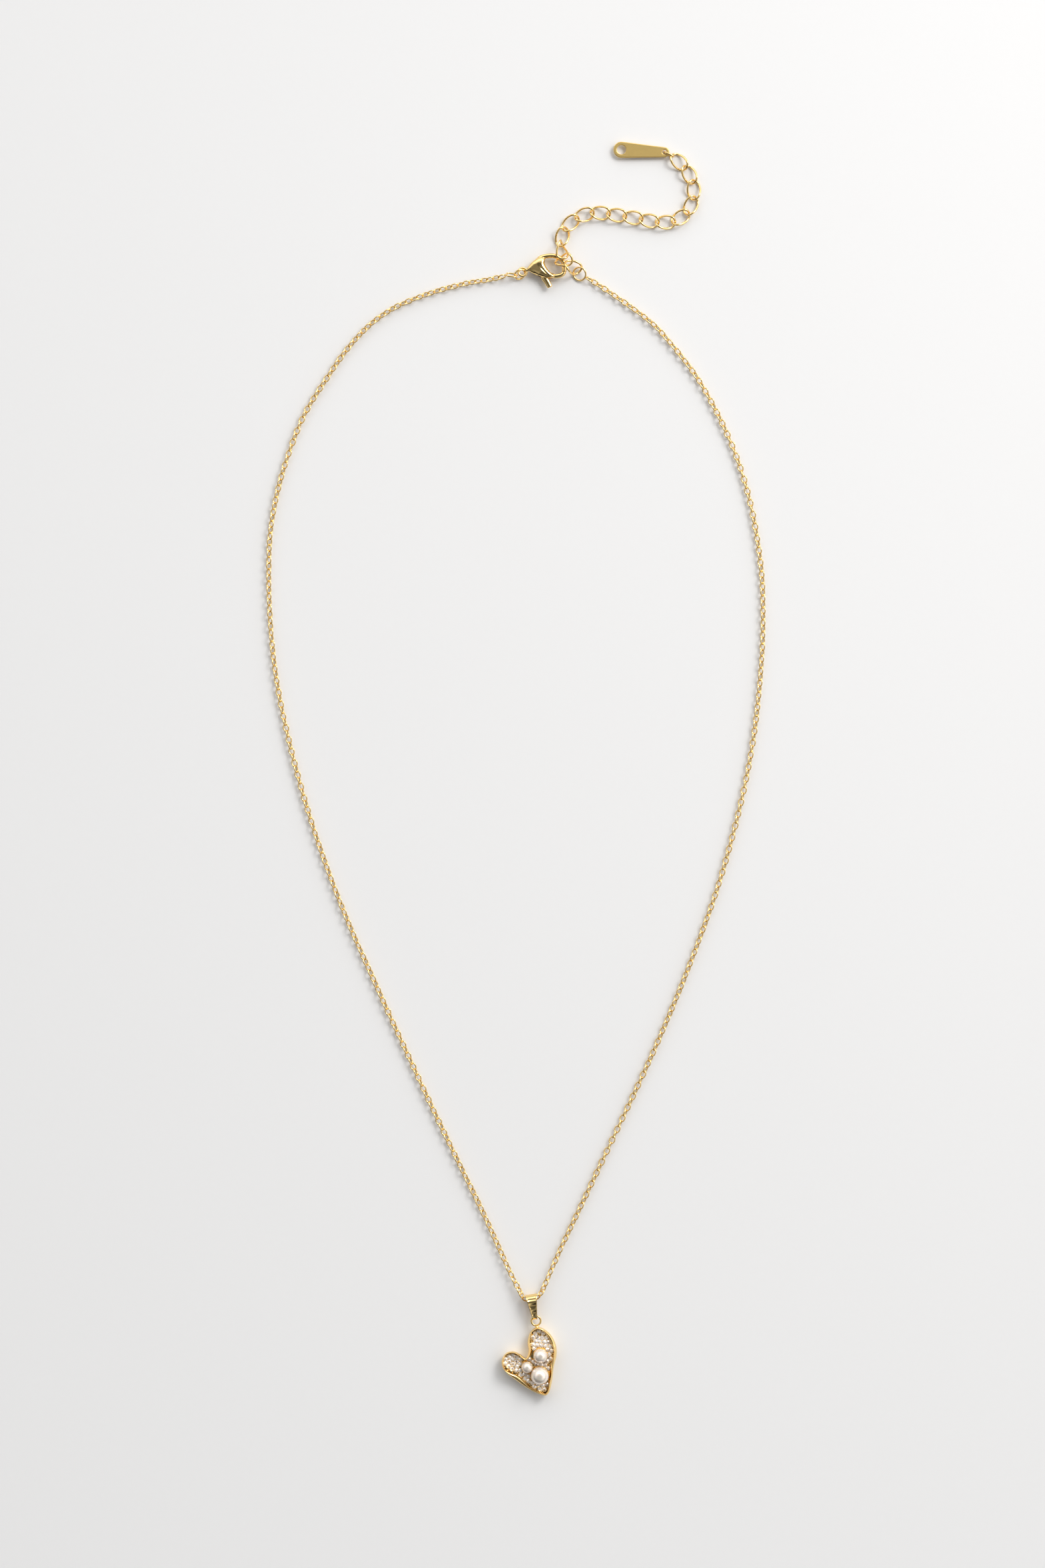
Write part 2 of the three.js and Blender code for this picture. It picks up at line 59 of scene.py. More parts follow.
# Route of the fine chain's left side, from the end link down to the bail, in metres.
LEFT_ROUTE = [
    (-0.0023, 0.0933), (-0.0055, 0.0926), (-0.0087, 0.0921), (-0.0125, 0.0912),
    (-0.0163, 0.0901), (-0.0201, 0.0887), (-0.0239, 0.0869), (-0.0280, 0.0839),
    (-0.0320, 0.0796), (-0.0354, 0.0748), (-0.0401, 0.0673), (-0.0432, 0.0597),
    (-0.0454, 0.0522), (-0.0467, 0.0446), (-0.0470, 0.0370), (-0.0468, 0.0294),
    (-0.0462, 0.0218), (-0.0451, 0.0142), (-0.0435, 0.0066), (-0.0416, -0.0010),
    (-0.0394, -0.0086), (-0.0369, -0.0162), (-0.0341, -0.0238), (-0.0310, -0.0314),
    (-0.0276, -0.0390), (-0.0242, -0.0466), (-0.0207, -0.0542), (-0.0172, -0.0618),
    (-0.0136, -0.0694), (-0.0099, -0.0770), (-0.0062, -0.0846), (-0.0032, -0.0912),
    (-0.0012, -0.0956), (0.0007, -0.0993),
]

# Route of the right side, from the joining ring down to the bail.
RIGHT_ROUTE = [
    (0.01345, 0.09295), (0.0160, 0.09135), (0.0186, 0.0896), (0.0215, 0.0876),
    (0.0246, 0.0853), (0.0277, 0.0824), (0.0337, 0.0749), (0.0381, 0.0673),
    (0.0415, 0.0597), (0.0439, 0.0522), (0.0455, 0.0446), (0.0465, 0.0370),
    (0.0468, 0.0294), (0.0466, 0.0218), (0.0460, 0.0142), (0.0451, 0.0066),
    (0.0438, -0.0010), (0.0421, -0.0086), (0.0401, -0.0162), (0.0378, -0.0238),
    (0.0351, -0.0314), (0.0322, -0.0390), (0.0291, -0.0466), (0.0258, -0.0542),
    (0.0223, -0.0618), (0.0187, -0.0694), (0.0151, -0.0770), (0.0115, -0.0846),
    (0.0085, -0.0909), (0.0065, -0.0954), (0.0048, -0.0993),
]

# The short length inside the bail, from the left side to the right.
CENTRE_ROUTE = [
    (0.0007, -0.0993), (0.00125, -0.1003), (0.0020, -0.10072), (0.00295, -0.1007),
    (0.00375, -0.10035), (0.0043, -0.0999), (0.0048, -0.0993),
]

# Heights of the chain's middle on the floor and inside the bail, and the route spans in one
# jointed length.
CHAIN_LEVEL = 0.66 * MM
BAIL_LEVEL = 1.3 * MM
STRIDE = 3

# The three links gathered on the hook: x, y, z in mm, then heading, pitch and roll in degrees.
GATHERED_LINKS = [
    (10.71, 94.82, 1.53, -15.21, 34.95, -5.6),
    (9.0, 96.24, 1.66, 3.48, -35.16, -19.14),
    (8.62, 98.13, 1.63, 94.95, 19.34, 42.68),
]

# The flat links after them, in mm: where the first begins, each one's heading and their height.
EXTENDER_START = (8.32, 99.23)
EXTENDER_HEADINGS = [76, 42, 20, -6, -9, -9, -12, 1, 33, 66, 93, 120, 138]
EXTENDER_LEVEL = 0.74

# Where the rings lie, written like the gathered links.
CLASP_RING_PLACE = (0.63, 93.59, 0.95, 25.42, 5.11, 43.21)
END_LINK_PLACE = (-0.94, 93.43, 1.25, -6.32, 4.56, -55.18)
JOINING_RING_PLACE = (11.95, 93.69, 0.75, -106.36, 23.34, 13.33)
PENDANT_LOOP_PLACE = (3.7, -104.76, 1.35)
TAG_LINK_HEADING = 153.4

# Outside diameters of the rings, and outside length and width of the straight-sided links, in mm.
CLASP_RING_SIZE = 2.4
JOINING_RING_SIZE = 2.84
PENDANT_LOOP_SIZE = 2.15
PENDANT_LOOP_WIRE = 0.38
END_LINK_SIZE = (2.34, 1.54)
TAG_LINK_SIZE = (2.24, 1.32)

# The bail in mm: where its head lies, its widths at the head and foot, the foot's radius, and the
# soft wave along its face (height, where it starts, length).
BAIL_PLACE = (2.72, -99.62)
BAIL_LEAN = 9.4
BAIL_WIDTHS = (2.2, 0.85)
BAIL_FOOT = 0.61
BAIL_WAVE = (0.08, 1.15, 1.45)

# The clasp, in mm from the middle of its eye. Bars are given as x, y, height and radius.
EYE = (1.15, 94.0)
EYE_SIZE = 1.98
EYE_WIRE = 0.46
CLASP_MIDDLE = 1.12
NECK_LINE = [(0.75, 0.25, 1.1, 0.3), (1.2, 0.6, 1.1, 0.42), (1.9, 0.85, 1.1, 0.6)]
CHEEK = [
    (0.9, 0.5), (1.2, 1.2), (1.9, 2.0), (2.8, 2.6), (3.7, 2.85), (4.25, 2.5), (4.2, 1.7),
    (4.5, 0.95), (5.05, 0.2), (5.8, -0.42), (6.25, -0.85), (5.6, -1.2), (4.6, -1.22), (3.4, -0.95),
    (2.2, -0.4), (1.3, 0.1),
]
CHEEK_SPINE = [
    (1.5, 0.65, 0.55), (2.4, 1.15, 0.86), (3.1, 1.2, 1.05), (3.7, 0.6, 1.04), (4.5, -0.3, 0.94),
    (5.2, -0.75, 0.84),
]
HOOK_LINE = [
    (2.4, 2.0, 1.12, 0.3), (3.4, 2.72, 1.15, 0.42), (4.5, 3.0, 1.15, 0.46), (5.7, 3.08, 1.15, 0.46),
    (6.7, 2.84, 1.15, 0.46), (7.5, 2.25, 1.15, 0.46), (7.9, 1.4, 1.15, 0.46), (7.9, 0.4, 1.15, 0.45),
    (7.86, -0.1, 1.15, 0.42),
]
GATE_LINE = [
    (3.4, 0.0, 1.12, 0.36), (4.2, -0.1, 1.12, 0.42), (5.2, -0.5, 1.12, 0.44), (6.2, -0.78, 1.12, 0.42),
    (7.0, -0.68, 1.12, 0.44), (7.5, -0.5, 1.12, 0.43), (7.78, -0.2, 1.12, 0.42),
    (7.86, 0.04, 1.12, 0.41),
]
NUB_LINE = [
    (3.95, -0.6, 1.1, 0.66), (4.3, -1.25, 1.1, 0.63), (4.68, -1.9, 1.1, 0.57), (5.02, -2.5, 1.1, 0.53),
    (5.22, -2.92, 1.1, 0.5),
]

# Room for the lever inside the cheeks: two corners and its height.
SLOT = ((2.85, -2.2), (6.6, 0.86), 0.98)

# Outline of the heart in mm, clockwise from the loop: x, y, then the rolled rim there: how far
# it leans in from the outline, how wide it is and how high its crest stands.
HEART_RIM = [
    (3.94, -105.9, 0.03, 0.3, 2.3), (5.2, -106.25, 0.04, 0.4, 2.22),
    (6.46, -107.3, 0.06, 0.66, 1.95), (7.3, -108.7, 0.12, 0.68, 2.0),
    (7.72, -110.2, 0.34, 0.34, 2.35), (7.62, -111.8, 0.4, 0.3, 2.5),
    (7.15, -113.3, 0.08, 0.66, 2.2), (6.98, -114.9, 0.22, 0.3, 1.95),
    (6.77, -116.5, 0.34, 0.26, 2.2), (6.3, -118.15, 0.1, 0.34, 2.4),
    (5.45, -118.88, 0.04, 0.4, 2.35), (3.94, -118.5, 0.03, 0.52, 1.95),
    (2.27, -117.72, 0.04, 0.5, 1.75), (1.0, -116.85, 0.03, 0.86, 1.85),
    (-0.25, -115.9, 0.04, 0.92, 2.15), (-1.52, -114.95, 0.04, 0.52, 2.4),
    (-2.5, -113.95, 0.08, 0.3, 2.4), (-2.9, -112.7, 0.12, 0.27, 2.15),
    (-2.57, -111.5, 0.03, 0.27, 1.95), (-1.7, -110.68, 0.03, 0.26, 2.0),
    (-0.47, -110.52, 0.03, 0.26, 2.25), (0.8, -111.08, 0.03, 0.28, 2.45),
    (1.75, -111.75, 0.04, 0.32, 2.4), (2.22, -110.5, 0.3, 0.28, 2.2),
    (2.0, -108.95, 0.36, 0.25, 2.0), (2.27, -107.5, 0.16, 0.25, 2.1),
    (2.89, -106.45, 0.05, 0.28, 2.25),
]
HEART_FOOT = -118.9
DISH_FLOOR = 0.93
SOLDER_PLACE = (3.9, -105.98, 1.5)
SOLDER_RADIUS = 0.34

# The pearls in mm: x, y and radius. Each stands on a flat, a share of its radius below its middle.
PEARLS = {
    "large": (4.4, -115.0, 1.68),
    "medium": (4.53, -111.3, 1.36),
    "small": (2.01, -113.5, 1.08),
}
PEARL_LIFT = 0.2
PEARL_FLAT = 0.69
STONE_RISE = 0.34
COLLAR_BEAD = 0.115
COLLAR_PITCH = 0.235

# The camera's place in metres, and how bright the room is at each height of view, from the
# horizon at 0 to overhead at 1.
CAMERA_PLACE = (0.00114, -0.00304, 0.7029)
ROOM_SHADES = ((0.12, 0.40), (0.42, 1.1), (0.70, 1.25), (0.86, 0.42), (0.95, 0.14))


# ---------------------------------------------------------------- sizes and colours

class ChainSizes(bpy.types.PropertyGroup):
    """Sizes of the fine cable chain."""
    link_length: bpy.props.FloatProperty(
        name="Link length", description="Outside length of one cable link",
        default=1.72 * MM, unit="LENGTH")
    link_width: bpy.props.FloatProperty(
        name="Link width", description="Outside width of one cable link",
        default=1.26 * MM, unit="LENGTH")
    wire: bpy.props.FloatProperty(
        name="Wire", description="Wire diameter of a cable link", default=0.28 * MM, unit="LENGTH")
    pitch: bpy.props.FloatProperty(
        name="Pitch", description="Distance from one link to the next",
        default=1.146 * MM, unit="LENGTH")


class ExtenderSizes(bpy.types.PropertyGroup):
    """Sizes of the extender's links and of the rings."""
    link_length: bpy.props.FloatProperty(
        name="Link length", description="Outside length of an extender link",
        default=4.12 * MM, unit="LENGTH")
    link_width: bpy.props.FloatProperty(
        name="Link width", description="Outside width of an extender link",
        default=2.82 * MM, unit="LENGTH")
    wire: bpy.props.FloatProperty(
        name="Wire", description="Wire diameter of an extender link",
        default=0.42 * MM, unit="LENGTH")
    twist: bpy.props.FloatProperty(
        name="Twist", description="How far the wire leaves the link's plane",
        default=0.5 * MM, unit="LENGTH")
    overlap: bpy.props.FloatProperty(
        name="Overlap", description="How far neighbouring links reach into each other",
        default=0.57 * MM, unit="LENGTH")
    ring_wire: bpy.props.FloatProperty(
        name="Ring wire", description="Wire diameter of the jump rings",
        default=0.34 * MM, unit="LENGTH")


class PendantSizes(bpy.types.PropertyGroup):
    """Sizes of the heart's stones and beads and of the bail."""
    stone: bpy.props.FloatProperty(
        name="Stone", description="Diameter of one set stone", default=0.92 * MM, unit="LENGTH")
    stone_spacing: bpy.props.FloatProperty(
        name="Stone spacing", description="Least distance between two stones",
        default=0.82 * MM, unit="LENGTH")
    bead: bpy.props.FloatProperty(
        name="Bead", description="Diameter of a grain that holds the stones",
        default=0.22 * MM, unit="LENGTH")
    bail_length: bpy.props.FloatProperty(
        name="Bail length", description="Length of the folded bail",
        default=5.02 * MM, unit="LENGTH")
    bail_depth: bpy.props.FloatProperty(
        name="Bail depth", description="Depth of the bail's loop", default=2.7 * MM, unit="LENGTH")
    bail_strip: bpy.props.FloatProperty(
        name="Bail strip", description="Thickness of the bail's strip",
        default=0.28 * MM, unit="LENGTH")


class NecklaceColours(bpy.types.PropertyGroup):
    """Colours of the finishes."""
    gold: bpy.props.FloatVectorProperty(
        name="Gold", description="Polished gold plating", subtype="COLOR", size=3,
        default=(0.96, 0.68, 0.29))
    satin_gold: bpy.props.FloatVectorProperty(
        name="Satin gold", description="Brushed gold of the tag", subtype="COLOR", size=3,
        default=(0.96, 0.69, 0.25))
    pearl: bpy.props.FloatVectorProperty(
        name="Pearl", description="Body colour of the pearls", subtype="COLOR", size=3,
        default=(0.93, 0.855, 0.765))
    stone: bpy.props.FloatVectorProperty(
        name="Stone", description="Tint of the clear stones", subtype="COLOR", size=3,
        default=(1.0, 0.955, 0.905))
    backdrop: bpy.props.FloatVectorProperty(
        name="Backdrop", description="Colour of the floor", subtype="COLOR", size=3,
        default=(0.86, 0.86, 0.865))


# ---------------------------------------------------------------- materials

def new_material(name, base, metallic, roughness):
    """A principled material and its shader, with the finish that is the same all over."""
    material = bpy.data.materials.new(name)
    material.use_nodes = True
    shader = material.node_tree.nodes["Principled BSDF"]
    shader.inputs["Base Color"].default_value = (*base, 1)
    shader.inputs["Metallic"].default_value = metallic
    shader.inputs["Roughness"].default_value = roughness
    return material, shader


def add_noise(material, scale, detail=4.0, stretch=(1, 1, 1)):
    """A noise texture on object coordinates, in features per metre."""
    nodes = material.node_tree.nodes
    links = material.node_tree.links
    place = nodes.new("ShaderNodeTexCoord")
    mapping = nodes.new("ShaderNodeMapping")
    mapping.inputs["Scale"].default_value = stretch
    noise = nodes.new("ShaderNodeTexNoise")
    noise.inputs["Scale"].default_value = scale
    noise.inputs["Detail"].default_value = detail
    links.new(place.outputs["Object"], mapping.inputs["Vector"])
    links.new(mapping.outputs["Vector"], noise.inputs["Vector"])
    return noise


def spread(material, source, socket, low, high):
    """Drives a shader socket between two values by a texture."""
    nodes = material.node_tree.nodes
    span = nodes.new("ShaderNodeMapRange")
    span.inputs["From Min"].default_value = 0.3
    span.inputs["From Max"].default_value = 0.7
    span.inputs["To Min"].default_value = low
    span.inputs["To Max"].default_value = high
    material.node_tree.links.new(source.outputs[0], span.inputs["Value"])
    material.node_tree.links.new(span.outputs["Result"], socket)


def tint(material, source, socket, first, second):
    """Drives a colour socket between two colours by a texture."""
    mix = material.node_tree.nodes.new("ShaderNodeMix")
    mix.data_type = "RGBA"
    mix.inputs[6].default_value = (*first, 1)
    mix.inputs[7].default_value = (*second, 1)
    material.node_tree.links.new(source.outputs[0], mix.inputs["Factor"])
    material.node_tree.links.new(mix.outputs[2], socket)


def add_bump(material, source, socket, strength, distance):
    """A small relief from a texture."""
    bump = material.node_tree.nodes.new("ShaderNodeBump")
    bump.inputs["Strength"].default_value = strength
    bump.inputs["Distance"].default_value = distance
    material.node_tree.links.new(source.outputs[0], bump.inputs["Height"])
    material.node_tree.links.new(bump.outputs["Normal"], socket)


def made_once(make):
    """Keeps one copy of each material."""
    def fetch():
        name = make.__name__ + "_finish"
        if name not in bpy.data.materials:
            make(name)
        return bpy.data.materials[name]
    return fetch


@made_once
def polished_gold(name):
    """Bright plated metal with faint handling marks and soft polishing waves."""
    gold = tuple(bpy.context.scene.necklace_colours.gold)
    material, shader = new_material(name, gold, 1.0, 0.12)
    broad = add_noise(material, 900, 3)
    spread(material, broad, shader.inputs["Roughness"], 0.07, 0.17)
    paler = tuple(min(1.0, c * 1.06 + 0.02) for c in gold)
    tint(material, broad, shader.inputs["Base Color"], gold, paler)
    fine = add_noise(material, 5200, 2)
    add_bump(material, fine, shader.inputs["Normal"], 0.05, 0.00002)


@made_once
def satin_gold(name):
    """Plated metal brushed lengthwise, with a fine grain."""
    gold = tuple(bpy.context.scene.necklace_colours.satin_gold)
    material, shader = new_material(name, gold, 1.0, 0.4)
    grain = add_noise(material, 17000, 5, (0.6, 1, 1))
    spread(material, grain, shader.inputs["Roughness"], 0.32, 0.46)
    darker = tuple(c * 0.80 for c in gold)
    tint(material, grain, shader.inputs["Base Color"], darker, gold)
    add_bump(material, grain, shader.inputs["Normal"], 0.05, 0.000004)


@made_once
def spring_steel(name):
    """Drawn wire."""
    material, shader = new_material(name, (0.62, 0.63, 0.65), 1.0, 0.3)
    drawn = add_noise(material, 8000, 2)
    spread(material, drawn, shader.inputs["Roughness"], 0.22, 0.4)


@made_once
def pearl(name):
    """Nacre: a soft body under a clear, slightly uneven lustre."""
    body = tuple(bpy.context.scene.necklace_colours.pearl)
    material, shader = new_material(name, body, 0.42, 0.18)
    clouds = add_noise(material, 700, 3)
    rosy = (body[0] * 1.02, body[1] * 0.96, body[2] * 0.93)
    tint(material, clouds, shader.inputs["Base Color"], body, rosy)
    spread(material, clouds, shader.inputs["Roughness"], 0.13, 0.22)
    shader.inputs["Coat Weight"].default_value = 0.7
    shader.inputs["Coat Roughness"].default_value = 0.08
    shader.inputs["Sheen Weight"].default_value = 0.15
    shader.inputs["Sheen Tint"].default_value = (1.0, 0.9, 0.84, 1)
    shader.inputs["Subsurface Weight"].default_value = 0.15
    shader.inputs["Subsurface Scale"].default_value = 0.0004
    skin = add_noise(material, 6000, 2)
    add_bump(material, skin, shader.inputs["Normal"], 0.03, 0.00001)


@made_once
def stone_crown(name):
    """The clear top of a cut stone, each facet coloured at random with painted light: bright painted
    glints and dark painted reflections.
    """
    clear = tuple(bpy.context.scene.necklace_colours.stone)
    material, shader = new_material(name, clear, 0.2, 0.06)
    shader.inputs["IOR"].default_value = 2.1
    painted_facet_light = material.node_tree.nodes.new("ShaderNodeAttribute")
    painted_facet_light.attribute_name = "painted_facet_light"
    ramp = material.node_tree.nodes.new("ShaderNodeValToRGB")
    material.node_tree.links.new(painted_facet_light.outputs["Fac"], ramp.inputs["Fac"])
    # The ramp runs from a dark brown painted reflection up to bright painted glints.
    stops = ramp.color_ramp.elements
    stops[0].color = (0.30, 0.21, 0.155, 1)
    stops[1].color = (*clear, 1)
    for position, shade in ((0.22, (0.66, 0.53, 0.44)), (0.40, (1.0, 0.94, 0.885))):
        stop = stops.new(position)
        stop.color = (*shade, 1)
    material.node_tree.links.new(ramp.outputs["Color"], shader.inputs["Base Color"])


@made_once
def stone_foil(name):
    """The mirror foil behind a cut stone."""
    material, shader = new_material(name, (0.86, 0.81, 0.77), 1.0, 0.08)
    shade = add_noise(material, 1500, 2)
    tint(material, shade, shader.inputs["Base Color"], (0.70, 0.64, 0.58), (0.96, 0.92, 0.88))


@made_once
def pale_board(name):
    """A plain matt board with a faint tooth."""
    board = tuple(bpy.context.scene.necklace_colours.backdrop)
    material, shader = new_material(name, board, 0.0, 0.75)
    tooth = add_noise(material, 900, 5)
    paler = tuple(min(1.0, c * 1.012) for c in board)
    tint(material, tooth, shader.inputs["Base Color"], board, paler)
    add_bump(material, tooth, shader.inputs["Normal"], 0.04, 0.00005)


# ---------------------------------------------------------------- shared modelling

def nothing_selected():
    """Leaves object mode with nothing selected."""
    if bpy.context.object and bpy.context.object.mode != "OBJECT":
        bpy.ops.object.mode_set(mode="OBJECT")
    bpy.ops.object.select_all(action="DESELECT")


def take(obj):
    """Selects one object alone and makes it active."""
    nothing_selected()
    obj.select_set(True)
    bpy.context.view_layer.objects.active = obj


def placing(place):
    """Matrix of a place: x, y, z in mm, then heading, pitch and roll in degrees."""
    x, y, z, heading, pitch, roll = (*place, 0, 0, 0)[:6]
    turn = (Matrix.Rotation(math.radians(heading), 4, "Z")
            @ Matrix.Rotation(math.radians(pitch), 4, "Y")
            @ Matrix.Rotation(math.radians(roll), 4, "X"))
    return Matrix.Translation(Vector((x, y, z)) * MM) @ turn


def copy_of(model, matrix):
    """A copy of a model with a mesh of its own, its place worked into the mesh."""
    twin = model.copy()
    twin.data = model.data.copy()
    twin.data.transform(matrix)
    bpy.context.scene.collection.objects.link(twin)
    return twin


def joined(copies):
    """One object out of several."""
    nothing_selected()
    for obj in copies:
        obj.select_set(True)
    bpy.context.view_layer.objects.active = copies[0]
    bpy.ops.object.join()
    return bpy.context.object


def discard(model):
    """Removes a pattern piece that has been copied."""
    take(model)
    bpy.ops.object.delete()


def apply_all(obj):
    """Applies every modifier of an object."""
    take(obj)
    for modifier in list(obj.modifiers):
        bpy.ops.object.modifier_apply(modifier=modifier.name)


def smooth(obj, degrees=None):
    """Smooth shading, all over or up to an angle."""
    take(obj)
    if degrees is None:
        bpy.ops.object.shade_smooth()
    else:
        bpy.ops.object.shade_smooth_by_angle(angle=math.radians(degrees))


def body_of(node):
    """The body that a node belongs to."""
    bodies = frame["record"]["behaviour"]["bodies"]
    return next(body for body, members in bodies.items() if node in members)


def hand_over(obj, name, body, slot, material, *nodes):
    """Names a finished piece and ties it to its body and the nodes it stands for; slot is not used."""
    obj.name = name
    obj.data.name = name
    if material is not None:
        obj.data.materials.clear()
        obj.data.materials.append(material)
    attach(obj, body)
    if nodes:
        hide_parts(*nodes)
    nothing_selected()


def in_gold(obj, name, body, *nodes):
    """Hands over a piece that is plated bright."""
    hand_over(obj, name, body, "polished_gold", polished_gold(), *nodes)


def refinish(node, material):
    """Gives a node that stays its material."""
    obj = frame["nodes"][node]
    obj.data.materials.clear()
    obj.data.materials.append(material)


def mesh_piece(name, points, faces):
    """An object from points in mm and faces."""
    mesh = bpy.data.meshes.new(name)
    mesh.from_pydata([Vector(p) * MM for p in points], [], faces)
    mesh.validate()
    obj = bpy.data.objects.new(name, mesh)
    bpy.context.scene.collection.objects.link(obj)
    take(obj)
    bpy.ops.object.mode_set(mode="EDIT")
    bpy.ops.mesh.select_all(action="SELECT")
    bpy.ops.mesh.normals_make_consistent(inside=False)
    bpy.ops.object.mode_set(mode="OBJECT")
    return obj


def spline_point(points, i, t, closed=False):
    """A point on a smooth curve through a list of points, after point i."""
    count = len(points)

    def at(k):
        return points[k % count] if closed else points[min(max(k, 0), count - 1)]
    before, start, end, after = (at(i + k) for k in (-1, 0, 1, 2))
    return tuple(
        0.5 * (2 * b + (c - a) * t + (2 * a - 5 * b + 4 * c - d) * t * t
               + (3 * b - a - 3 * c + d) * t ** 3)
        for a, b, c, d in zip(before, start, end, after))


# ---------------------------------------------------------------- rings and links

def wire_loop(length, width, wire, twist=0.0, around=64, sides=12):
    """A closed wire link: a ring drawn out to an oval, and twisted where twist is given."""
    nothing_selected()
    bpy.ops.mesh.primitive_torus_add(
        major_radius=1, minor_radius=0.25, major_segments=around, minor_segments=sides)
    loop = bpy.context.object
    long_half, short_half = (length - wire) / 2, (width - wire) / 2
    for vertex in loop.data.vertices:
        x, y, z = vertex.co
        turn = math.atan2(y, x)
        out, up = (math.hypot(x, y) - 1) * 2 * wire, z * 2 * wire
        core = Vector((long_half * math.cos(turn), short_half * math.sin(turn),
                       twist * math.sin(2 * turn)))
        along = Vector((-long_half * math.sin(turn), short_half * math.cos(turn),
                        2 * twist * math.cos(2 * turn))).normalized()
        rise = (Vector((0, 0, 1)) - along * along.z).normalized()
        vertex.co = core + along.cross(rise) * out + rise * up
    smooth(loop)
    return loop


def stadium_loop(length, width, wire):
    """A closed wire link with straight sides, from a ring that is parted in the middle."""
    nothing_selected()
    radius = (width - wire) / 2
    bpy.ops.mesh.primitive_torus_add(
        major_radius=radius, minor_radius=wire / 2, major_segments=40, minor_segments=14)
    obj = bpy.context.object
    half = (length - width) / 2
    for vertex in obj.data.vertices:
        if abs(vertex.co.x) > radius * 1e-3:
            vertex.co.x += math.copysign(half, vertex.co.x)
    smooth(obj)
    return obj


class NECKLACE_OT_rings(bpy.types.Operator):
    """Makes the clasp's ring, the end link and the joining ring"""
    bl_idname = "necklace.rings"
    bl_label = "Rings"

    def execute(self, context):
        wire = context.scene.necklace_extender.ring_wire
        clasp_ring = wire_loop(CLASP_RING_SIZE * MM, CLASP_RING_SIZE * MM, wire)
        clasp_ring.data.transform(placing(CLASP_RING_PLACE))
        in_gold(clasp_ring, "clasp_ring_wire", "clasp_ring", "clasp_ring")
        end_link = stadium_loop(*(side * MM for side in END_LINK_SIZE), wire)
        end_link.data.transform(placing(END_LINK_PLACE))
        in_gold(end_link, "end_link_wire", "end_link", "end_link")
        joining = wire_loop(JOINING_RING_SIZE * MM, JOINING_RING_SIZE * MM, wire)
        joining.data.transform(placing(JOINING_RING_PLACE))
        in_gold(joining, "joining_ring_wire", "joining_ring", "joining_ring")
        return {"FINISHED"}


class NECKLACE_OT_extender(bpy.types.Operator):
    """Makes the sixteen twisted links of the extender"""
    bl_idname = "necklace.extender"
    bl_label = "Extender"

    def execute(self, context):
        sizes = context.scene.necklace_extender
        pattern = wire_loop(sizes.link_length, sizes.link_width, sizes.wire, sizes.twist)
        places = list(GATHERED_LINKS)
        pitch = (sizes.link_length - sizes.wire - sizes.overlap) / MM
        x, y = EXTENDER_START
        for heading in EXTENDER_HEADINGS:
            turn = math.radians(heading)
            step = (pitch * math.cos(turn), pitch * math.sin(turn))
            places.append((x + step[0] / 2, y + step[1] / 2, EXTENDER_LEVEL, heading))
            x += step[0]
            y += step[1]
        for number, place in enumerate(places, 1):
            node = f"extender_link_{number:02d}"
            link = copy_of(pattern, placing(place))
            in_gold(link, f"extender_wire_{number:02d}", node, node)
        discard(pattern)
        return {"FINISHED"}


# ---------------------------------------------------------------- fine chain

def raised(points):
    """Gives a route its heights: it rises to the bail over its last four points."""
    rise = {1: 1.0, 2: 0.6, 3: 0.25, 4: 0.05}
    route = []
    for i, (x, y) in enumerate(points):
        share = rise.get(len(points) - i, 0.0)
        route.append((x, y, CHAIN_LEVEL + (BAIL_LEVEL - CHAIN_LEVEL) * share))
    return route


def steps_along(route, per_span=24):
    """Even small steps along a route: (distance, position, span index)."""
    steps = []
    distance = 0.0
    last = None
    for span in range(len(route) - 1):
        for k in range(per_span):
            point = Vector(spline_point(route, span, k / per_span))
            if last is not None:
                distance += (point - last).length
            steps.append((distance, point, span))
            last = point
    end = Vector(route[-1])
    steps.append((distance + (end - last).length, end, len(route) - 2))
    return steps


def link_places(route, pitch, first):
    """Where each link of a route goes: (position, direction, span index)."""
    steps = steps_along(route)
    count = int((steps[-1][0] - first) / pitch) + 1
    places = []
    k = 0
    for number in range(count):
        target = first + number * pitch
        while k < len(steps) - 2 and steps[k + 1][0] < target:
            k += 1
        (d0, p0, span), (d1, p1, _) = steps[k], steps[k + 1]
        share = (target - d0) / max(d1 - d0, 1e-9)
        places.append((p0.lerp(p1, share), (p1 - p0).normalized(), span))
    return places


def link_matrix(position, along, roll):
    """Matrix that lays a link along a direction, rolled about it."""
    side = Vector((0, 0, 1)).cross(along).normalized()
    up = along.cross(side)
    turned = Matrix((along, side, up)).transposed().to_4x4()
    return Matrix.Translation(position) @ turned @ Matrix.Rotation(roll, 4, "X")


